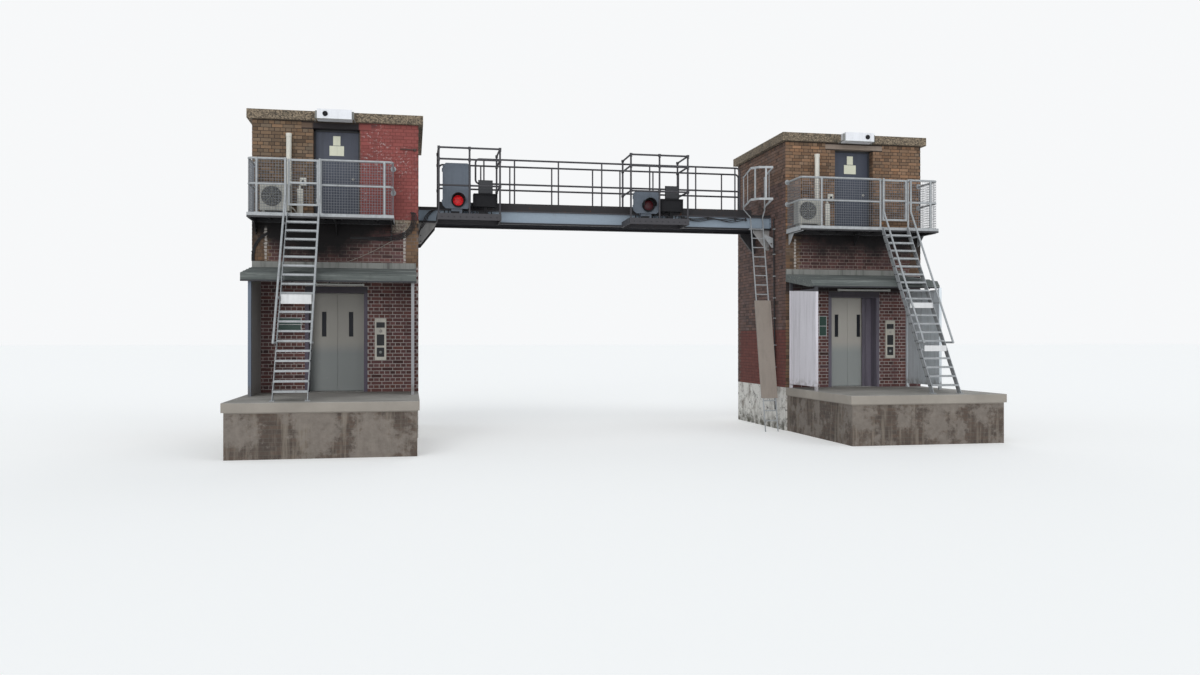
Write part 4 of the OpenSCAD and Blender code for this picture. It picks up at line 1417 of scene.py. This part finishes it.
class TOWERS_OT_wall_units(bpy.types.Operator):
    """Adds the fan guards, trunking, switch boxes, lamp eyes and brackets on the walls"""

    bl_idname = "towers.wall_units"
    bl_label = "Fit the Wall Units"

    def execute(self, context):
        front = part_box("air_conditioners")[0].y
        for tower, left in UNITS.items():
            fan(tower, left, front)
            unit_wiring(tower, left, front)
        floodlight("left", -6.085)
        floodlight("right", 6.05)
        green_plate("left_green_plate", -7.08, -6.59, 2.28, 2.57)
        green_plate("right_green_plate", 5.00, 5.19, 2.19, 2.66)
        wall_iron()
        return {"FINISHED"}


# Doors


def leaf_window(tower, centre, hand):
    """The glass and the bead of a lift leaf's vision slit, which slide with the leaf"""
    leaf = f"{tower}_lift_leaf_{hand}"
    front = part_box(leaf)[0].y
    x = centre + (SLIT_OUT if hand == "b" else -SLIT_OUT)
    foot, top = SLIT_FOOT + 0.002, SLIT_TOP - 0.002
    with new_piece(f"{tower}_leaf_glass_{hand}", "slit_glass", "black_box", leaf) as bm:
        block(bm, (x - 0.044, front + 0.010, SLIT_FOOT), (x + 0.044, front + 0.018, SLIT_TOP))
        soften(bm, 0.002)
    with new_piece(f"{tower}_leaf_bead_{hand}", "stainless", "lift_leaf", leaf) as bm:
        for z in (foot - 0.010, top):
            block(bm, (x - 0.053, front - 0.003, z), (x + 0.053, front + 0.003, z + 0.010))
        for side in (x - 0.049, x + 0.049):
            block(bm, (side - 0.004, front - 0.003, foot), (side + 0.004, front + 0.003, top))
        soften(bm, 0.0012)


def call_panel(tower, x):
    """Dark windows with a grille, buttons and screws on a call panel"""
    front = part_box("call_panels")[0].y
    with new_piece(f"{tower}_panel_windows", "dark_grille", "black_box") as bm:
        for bottom, top in ((1.742, 1.938), (1.982, 2.218)):
            block(bm, (x - 0.078, front + 0.0065, bottom), (x + 0.078, front + 0.0088, top))
        block(bm, (x - 0.088, front + 0.0050, 2.362), (x + 0.088, front + 0.0088, 2.478))
        for k in range(7):
            z = 2.00 + k * 0.031
            block(bm, (x - 0.070, front + 0.003, z), (x + 0.070, front + 0.008, z + 0.013))
        soften(bm, 0.0008)
    with new_piece(f"{tower}_panel_buttons", "stainless", "lift_leaf", smooth=0.6) as bm:
        button = [(0.0, 0.0), (0.030, 0.0), (0.026, 0.012), (0.0, 0.014)]
        key_switch = [(0.0, 0.0), (0.034, 0.0), (0.034, 0.004), (0.020, 0.010), (0.0, 0.010)]
        turned(bm, button, (x, front + 0.008, 1.84), 24)
        turned(bm, key_switch, (x, front, 2.290), 24)
        for z in (1.695, 2.535):
            for side in (-0.095, 0.095):
                bolt(bm, x + side, z, front + 0.001, front - 0.004, 0.014, 8)


def motor_room_door(tower, centre):
    """Bare plates, handle, hinges and lining of a motor room door"""
    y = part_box("motor_room_doors")[0].y
    with new_piece(f"{tower}_door_plates", "bare_plate", "call_panel") as bm:
        block(bm, (centre - 0.085, y - 0.004, 6.25), (centre + 0.065, y + 0.001, 6.45))
        block(bm, (centre - 0.16, y - 0.004, 6.03), (centre + 0.14, y + 0.001, 6.24))
        soften(bm, 0.001)
    with new_piece(f"{tower}_door_handle", "stainless", "lift_leaf", smooth=0.6) as bm:
        x, hinge_x = centre + 0.33, centre - 0.47
        turned(bm, [(0.0, 0.0), (0.030, 0.0), (0.027, 0.010), (0.0, 0.011)], (x, y, 5.54))
        bolt(bm, x, 5.54, y - 0.010, y - 0.040, 0.022, 12)
        for z in (4.90, 5.55, 6.30):
            pin(bm, hinge_x, y - 0.008, z - 0.05, z + 0.05, 0.018, 8)
    left, right, top = centre - 0.478, centre + 0.478, DOOR_TOP - 0.004
    front, back, width = y - 0.03, y - 0.0005, 0.038
    # The lining is black: a dark frame, and also painted shade at the doorway's edges
    with new_piece(f"{tower}_door_lining", "black_plate", "upper_door") as bm:
        for x in (left, right - width):
            block(bm, (x, front, DECK_TOP + 0.002), (x + width, back, top))
        block(bm, (left, front, top - width), (right, back, top))
        soften(bm, 0.003)


class TOWERS_OT_door_fittings(bpy.types.Operator):
    """Adds the glass of the lift leaves, the panel buttons, the door plates and their hinges"""

    bl_idname = "towers.door_fittings"
    bl_label = "Fit the Doors"

    def execute(self, context):
        for tower, centre in TOWERS.items():
            leaf_window(tower, centre, "a")
            leaf_window(tower, centre, "b")
            call_panel(tower, centre + 0.91)
            motor_room_door(tower, centre)
        return {"FINISHED"}


# Signals


def signal_head(name, x, z, lens, middle, top):
    """Lens, ring and bolts of a signal head. x and z are the lens's place, middle and top the plate's."""
    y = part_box("signal_heads")[0].y
    with new_piece(f"{name}_signal_lens", lens, "signal_grey", smooth=0.8) as bm:
        turned(bm, [(0.0, 0.0), (0.116, 0.0), (0.108, 0.010), (0.06, 0.022), (0.0, 0.026)], (x, y, z), 36)
    with new_piece(f"{name}_lens_ring", "black_case", "black_box", smooth=0.6) as bm:
        turned(bm, [(0.114, 0.0), (0.1415, 0.0), (0.1415, 0.020), (0.118, 0.016)], (x, y, z), 36)
    with new_piece(f"{name}_signal_bolts", "signal_grey", "signal_grey", smooth=0.6) as bm:
        for bolt_x, bolt_z in around(x, z, 0.168, 6, 15):
            bolt(bm, bolt_x, bolt_z, y + 0.001, y - 0.008, 0.016)
        for side in (-0.26, 0.26):
            for level in (5.10, top - 0.09):
                bolt(bm, middle + side, level, y + 0.001, y - 0.006, 0.018)
        bolt(bm, middle - 0.16, top - 0.12, y + 0.001, y - 0.010, 0.026, 12)
        bolt(bm, middle + 0.20, top - 0.05, y + 0.001, y - 0.008, 0.020, 12)
        for level in (5.16, top - 0.16):
            pin(bm, middle - 0.316, y + 0.012, level - 0.04, level + 0.04, 0.022, 8)


def indicator_box(name, x):
    """Hood, feet and bare plate of a black indicator box"""
    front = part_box("indicator_boxes")[0].y
    with new_piece(f"{name}_box_hood", "black_case", "black_box") as bm:
        block(bm, (x - 0.262, front - 0.035, 5.325), (x + 0.262, front + 0.002, 5.345))
        for side in (x - 0.25, x + 0.25):
            block(bm, (side - 0.006, front - 0.035, 5.08), (side + 0.006, front + 0.002, 5.335))
        for k in range(4):
            pin(bm, x - 0.20 + k * 0.133, front + 0.05, 5.062, 5.020, 0.020, 8)
        soften(bm, 0.002)
    with new_piece(f"{name}_box_plate", "black_plate", "black_box") as bm:
        block(bm, (x - 0.150, front + 0.014, 5.36), (x + 0.150, front + 0.021, 5.64))
        soften(bm, 0.002)
        for side in (-0.13, 0.13):
            for level in (5.38, 5.62):
                bolt(bm, x + side, level, front + 0.015, front + 0.010, 0.012)


class TOWERS_OT_signals(bpy.types.Operator):
    """Adds the lenses, rings and bolts of the signal heads and the fronts of the black boxes"""

    bl_idname = "towers.signals"
    bl_label = "Fit the Signals"

    def execute(self, context):
        signal_head("left", -3.31, 5.19, "red_lens", -3.34, 6.02)
        signal_head("right", 1.03, 5.20, "dark_lens", 0.985, 5.54)
        indicator_box("left", -2.71)
        indicator_box("right", 1.57)
        return {"FINISHED"}


# Gantry


def bracket_bolts():
    """Bolts through the brackets and the end plates of both girders"""
    low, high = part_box("gantry_girders")
    with new_piece("bracket_bolts", "gantry_tube", "dark_steel") as bm:
        for x, way in ((low.x, 1), (high.x, -1)):
            for y in GIRDER_LINES:
                for z in (4.60, 4.45, 4.32):
                    bolt(bm, x + way * 0.06, z, y - 0.034, y - 0.046, 0.03)
                for z in (GIRDER_MIDDLE - 0.10, GIRDER_MIDDLE, GIRDER_MIDDLE + 0.10):
                    for side in (-0.07, 0.07):
                        side_bolt(bm, x + way * 0.010, x + way * 0.024, y + side, z, 0.026)


def cage_fittings():
    """Clamp bolts, tray bolts, cable glands and small boxes of the signal cages"""
    with new_piece("cage_fittings", "black_case", "black_box", smooth=0.6) as bm:
        for cage, middle in CAGES.items():
            low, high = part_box(f"{cage}_signal_cage")
            ends = low.y + 0.002, low.y - 0.008
            for x in (middle - 0.665, middle, middle + 0.665):
                for z in (5.47, 5.99, 6.24):
                    for side in (-0.020, 0.020):
                        bolt(bm, x + side, z, *ends, 0.015)
            for x in evenly(low.x + 0.10, high.x - 0.10, 10):
                bolt(bm, x, 4.78, *ends, 0.022)
            for gland in (0.16, 0.24, 0.55, 0.78, 0.86, 1.10, 1.18):
                pin(bm, low.x + gland, 0.22, TRAY_TOP, TRAY_TOP + 0.030, 0.034)
                pin(bm, low.x + gland, 0.22, TRAY_TOP + 0.025, TRAY_TOP + 0.075, 0.022, 8)
            for left, width, height in ((0.30, 0.18, 0.057), (0.90, 0.14, 0.067)):
                x, z = low.x + left, TRAY_TOP + 0.003
                block(bm, (x, 0.20, z), (x + width, 0.30, z + height))


def post_feet():
    """Foot plates of the near and the far posts on the girders, with two bolts each"""
    near = (-2.70, -2.00, -0.98, 0.045, 1.20, 2.33, 3.31)
    far = (-2.71, -2.02, -1.01, -0.01, 0.67, 1.50, 2.15, 3.26)
    with new_piece("post_feet", "gantry_tube", "dark_steel") as bm:
        plate_top = POST_FOOT + 0.014
        for posts, front, bolt_line in ((near, 0.985, 1.005), (far, 1.870, 1.950)):
            for x in posts:
                block(bm, (x - 0.045, front, POST_FOOT), (x + 0.045, front + 0.095, plate_top))
                for side in (-0.03, 0.03):
                    pin(bm, x + side, bolt_line, plate_top - 0.002, plate_top + 0.012, 0.016)


class TOWERS_OT_gantry_details(bpy.types.Operator):
    """Adds the bolts, cable glands, small boxes and post feet of the gantry"""

    bl_idname = "towers.gantry_details"
    bl_label = "Detail the Gantry"

    def execute(self, context):
        bracket_bolts()
        cage_fittings()
        post_feet()
        return {"FINISHED"}


# Cables


def wall_cables():
    """Four cables from the red wall down and along under the balcony, and three down the left corner"""
    with new_piece("wall_cables", "black_rubber", "black_box", smooth=0.8) as bm:
        for k in range(4):
            apart, out = k * 0.032, 0.020 + k * 0.004
            route = [
                (-4.345 + apart * 0.6, -0.002, 4.835),
                (-4.325 + apart * 0.8, -out - 0.02, 4.820),
                (-4.310 + apart, -out - 0.02, 4.74),
                (-4.318 + apart, -out - 0.02, 4.66),
                (-4.335 + apart * 0.9, -out - 0.01, 4.58 - apart * 0.3),
                (-4.385 + apart * 0.6, -out - 0.01, 4.48 - apart * 0.7),
                (-4.470 + apart * 0.3, -out, 4.40 - apart),
                (-4.600, -out, 4.345 - apart),
                (-4.780, -out, 4.305 - apart * 0.9),
                (-5.000, -out, 4.290 - apart * 0.7),
                (-5.250, -out, 4.280 - apart * 0.4),
                (-5.600, -0.002, 4.280 - apart * 0.3),
            ]
            hose(bm, route, 0.018)
        for k in range(3):
            apart, out = k * 0.022, 0.015 + k * 0.003
            route = [
                (-7.255, -0.002, 4.345 - apart),
                (-7.290, -out, 4.340 - apart),
                (-7.375 + apart * 0.4, -out - 0.005, 4.285 - apart),
                (-7.460 + apart * 0.7, -out, 4.205 - apart * 0.7),
                (-7.525 + apart, -out, 4.110 - apart * 0.4),
                (-7.565 + apart, -out, 4.00),
                (-7.583 + apart, -out, 3.87),
                (-7.583 + apart, -out, 3.745),
            ]
            hose(bm, route, 0.018)
        for x, z, half in ((-4.50, 4.340, 0.066), (-4.75, 4.268, 0.060), (-5.20, 4.260, 0.040)):
            block(bm, (x - 0.012, -0.046, z - half), (x + 0.012, -0.002, z + half))
        block(bm, (-7.594, -0.034, 3.930), (-7.520, -0.002, 3.950))


def tacked_cable():
    """A thin cable tacked to the left tower's wall between the canopy and the balcony"""
    line = ((-5.624, 3.765), (-5.412, 3.852), (-5.172, 3.966), (-4.931, 4.095), (-4.719, 4.221))
    route = [(-5.653, -0.002, 3.750), *((x, -0.014, z) for x, z in line), (-4.690, -0.002, 4.239)]
    with new_piece("tacked_cable", "guard_paint", "black_box", smooth=0.8) as bm:
        hose(bm, route, 0.013, 6)
        for x, z in ((-5.50, 3.826), (-5.17, 3.966), (-4.84, 4.146)):
            block(bm, (x - 0.006, -0.024, z - 0.016), (x + 0.006, -0.002, z + 0.016))


def side_conduit():
    """A conduit and a cable down the inner side wall of the right tower, with their clips"""
    wall = CENTRE - WALL_WIDTH / 2
    conduit = [
        (wall + 0.004, 0.668, 4.99),
        (wall - 0.026, 0.667, 4.975),
        (wall - 0.034, 0.665, 4.92),
        (wall - 0.030, 0.650, 4.30),
        (wall - 0.034, 0.640, 3.40),
        (wall - 0.030, 0.610, 2.20),
        (wall - 0.032, 0.575, 1.02),
        (wall - 0.032, 0.570, 0.45),
    ]
    cable = [
        (wall - 0.024, 0.705, 4.60),
        (wall - 0.022, 0.690, 3.40),
        (wall - 0.022, 0.655, 2.20),
        (wall - 0.022, 0.620, 0.45),
    ]
    clips = (
        (0.662, 4.74), (0.650, 4.14), (0.645, 3.62), (0.632, 3.10),
        (0.622, 2.62), (0.600, 1.98), (0.588, 1.46), (0.575, 0.92),
    )
    with new_piece("side_conduit", "black_rubber", "black_box", smooth=0.8) as bm:
        hose(bm, conduit, 0.030)
        hose(bm, cable, 0.018)
    with new_piece("conduit_clips", "galvanised", "galvanised") as bm:
        for y, z in clips:
            block(bm, (wall - 0.052, y - 0.032, z - 0.010), (wall - 0.046, y + 0.032, z + 0.010))
            for side in (y - 0.032, y + 0.026):
                block(bm, (wall - 0.050, side, z - 0.010), (wall + 0.002, side + 0.006, z + 0.010))
        soften(bm, 0.0008)


def girder_cables():
    """Three cables that sag along the near girder, and three that leave its left end"""
    with new_piece("girder_cables", "black_rubber", "black_box", smooth=0.8) as bm:
        for k in range(3):
            y, top, sag = 0.938 - k * 0.012, 5.010 - k * 0.018, 0.035 + k * 0.012
            waves = [math.sin(i * math.pi / (9 + k)) ** 2 for i in range(23)]
            hose(bm, [(1.92 + i * 0.075, y, top - sag * wave) for i, wave in enumerate(waves)], 0.021, 6)
        for x in (1.95, 2.60, 3.28, 3.54):
            block(bm, (x - 0.010, 0.905, 4.950), (x + 0.010, 0.951, 5.024))
        for k in range(3):
            out, y, down = 0.03 * k, 0.925 - 0.01 * k, 0.03 * k
            route = [
                (-3.80 - 0.02 * k, 0.935, 5.03),
                (-3.88 - out, y, 4.98),
                (-3.96 - out, y, 4.88),
                (-4.00 - out, y, 4.76),
                (-4.06 - out, 0.930, 4.66),
                (-4.15, 0.935, 4.56 - down),
                (-4.178, 0.935, 4.46 - down),
            ]
            hose(bm, route, 0.018, 6)


class TOWERS_OT_cables(bpy.types.Operator):
    """Clips the black cables and conduits to the walls and the gantry"""

    bl_idname = "towers.cables"
    bl_label = "Clip the Cables"

    def execute(self, context):
        wall_cables()
        tacked_cable()
        side_conduit()
        girder_cables()
        return {"FINISHED"}


# Stage


def white_floor(scene):
    bm = bmesh.new()
    bmesh.ops.create_grid(bm, x_segments=1, y_segments=1, size=400.0)
    mesh = bpy.data.meshes.new("floor")
    bm.to_mesh(mesh)
    bm.free()
    s = Shade("floor")
    s.set(base_color=(0.80, 0.80, 0.79), roughness=0.9, specular_ior_level=0.0)
    s.set(emission_color=(1.0, 1.0, 0.99), emission_strength=0.235)
    mesh.materials.append(s.material)
    floor = bpy.data.objects.new("floor", mesh)
    floor.location.z = -0.001
    scene.collection.objects.link(floor)


def soft_sky(scene):
    """A dim sky that lights the object, and a nearly white one behind it"""
    world = bpy.data.worlds.new("soft_sky")
    world.use_nodes = True
    tree = world.node_tree
    tree.nodes.clear()
    output = tree.nodes.new("ShaderNodeOutputWorld")
    path, mixed = tree.nodes.new("ShaderNodeLightPath"), tree.nodes.new("ShaderNodeMixShader")
    tree.links.new(path.outputs["Is Camera Ray"], mixed.inputs[0])
    for socket, colour, strength in ((1, (0.90, 0.95, 1.0, 1.0), 0.64), (2, (0.93, 0.94, 0.95, 1.0), 1.0)):
        sky = tree.nodes.new("ShaderNodeBackground")
        sky.inputs[0].default_value = colour
        sky.inputs[1].default_value = strength
        tree.links.new(sky.outputs[0], mixed.inputs[socket])
    tree.links.new(mixed.outputs[0], output.inputs[0])
    scene.world = world


def soft_sun(scene, name, spot, size, power):
    """A sun of a size in degrees that shines from a spot towards the middle of the object"""
    lamp = bpy.data.lights.new(name, "SUN")
    lamp.angle = math.radians(size)
    lamp.energy = power
    made = bpy.data.objects.new(name, lamp)
    made.location = spot
    made.rotation_euler = (Vector((0, 1.5, 3.0)) - Vector(spot)).to_track_quat("-Z", "Y").to_euler()
    scene.collection.objects.link(made)


def photo_camera(scene):
    lens = bpy.data.cameras.new("camera")
    lens.lens = 28.95
    lens.sensor_width = 36.0
    lens.sensor_fit = "HORIZONTAL"
    lens.clip_end = 1000.0
    camera = bpy.data.objects.new("camera", lens)
    camera.location = (-4.34, -21.1, 2.1)
    camera.rotation_euler = (math.radians(90.148), 0.0, math.radians(-11.1))
    scene.collection.objects.link(camera)
    scene.camera = camera


class TOWERS_OT_stage(bpy.types.Operator):
    """Sets the floor, the soft light and the camera"""

    bl_idname = "towers.stage"
    bl_label = "Set the Stage"

    def execute(self, context):
        scene = context.scene
        scene.view_settings.view_transform = "Standard"
        white_floor(scene)
        soft_sky(scene)
        soft_sun(scene, "key", (-9.0, -14.0, 17.0), 34.0, 0.45)
        soft_sun(scene, "fill", (13.0, -11.0, 12.0), 34.0, 0.24)
        soft_sun(scene, "front", (-9.0, -24.0, 6.4), 30.0, 0.95)
        soft_sun(scene, "back", (4.0, 16.0, 12.0), 40.0, 0.55)
        photo_camera(scene)
        return {"FINISHED"}


# Add-on


STEPS = (
    TOWERS_OT_stage,
    TOWERS_OT_frame_finishes,
    TOWERS_OT_bricks,
    TOWERS_OT_infill,
    TOWERS_OT_stair_details,
    TOWERS_OT_canopy_trim,
    TOWERS_OT_wall_units,
    TOWERS_OT_door_fittings,
    TOWERS_OT_signals,
    TOWERS_OT_gantry_details,
    TOWERS_OT_cables,
)


class TOWERS_PT_panel(bpy.types.Panel):
    """Lists the steps in the sidebar of the 3D view"""

    bl_idname = "TOWERS_PT_panel"
    bl_label = "Lift Towers"
    bl_space_type = "VIEW_3D"
    bl_region_type = "UI"
    bl_category = "Towers"

    def draw(self, context):
        for step in STEPS:
            self.layout.operator(step.bl_idname)
        for group in (context.scene.tower_sizes, context.scene.tower_colours):
            for name in group.__annotations__:
                self.layout.prop(group, name)


CLASSES = (TOWERS_PG_sizes, TOWERS_PG_colours, *STEPS, TOWERS_PT_panel)


def register():
    for made in CLASSES:
        bpy.utils.register_class(made)
    bpy.types.Scene.tower_sizes = bpy.props.PointerProperty(type=TOWERS_PG_sizes)
    bpy.types.Scene.tower_colours = bpy.props.PointerProperty(type=TOWERS_PG_colours)


def unregister():
    del bpy.types.Scene.tower_colours
    del bpy.types.Scene.tower_sizes
    for made in reversed(CLASSES):
        bpy.utils.unregister_class(made)


def main():
    global SIZES, COLOURS
    register()
    SIZES, COLOURS = bpy.context.scene.tower_sizes, bpy.context.scene.tower_colours
    for step in STEPS:
        group, name = step.bl_idname.split(".")
        getattr(getattr(bpy.ops, group), name)()


if __name__ == "__main__":
    main()
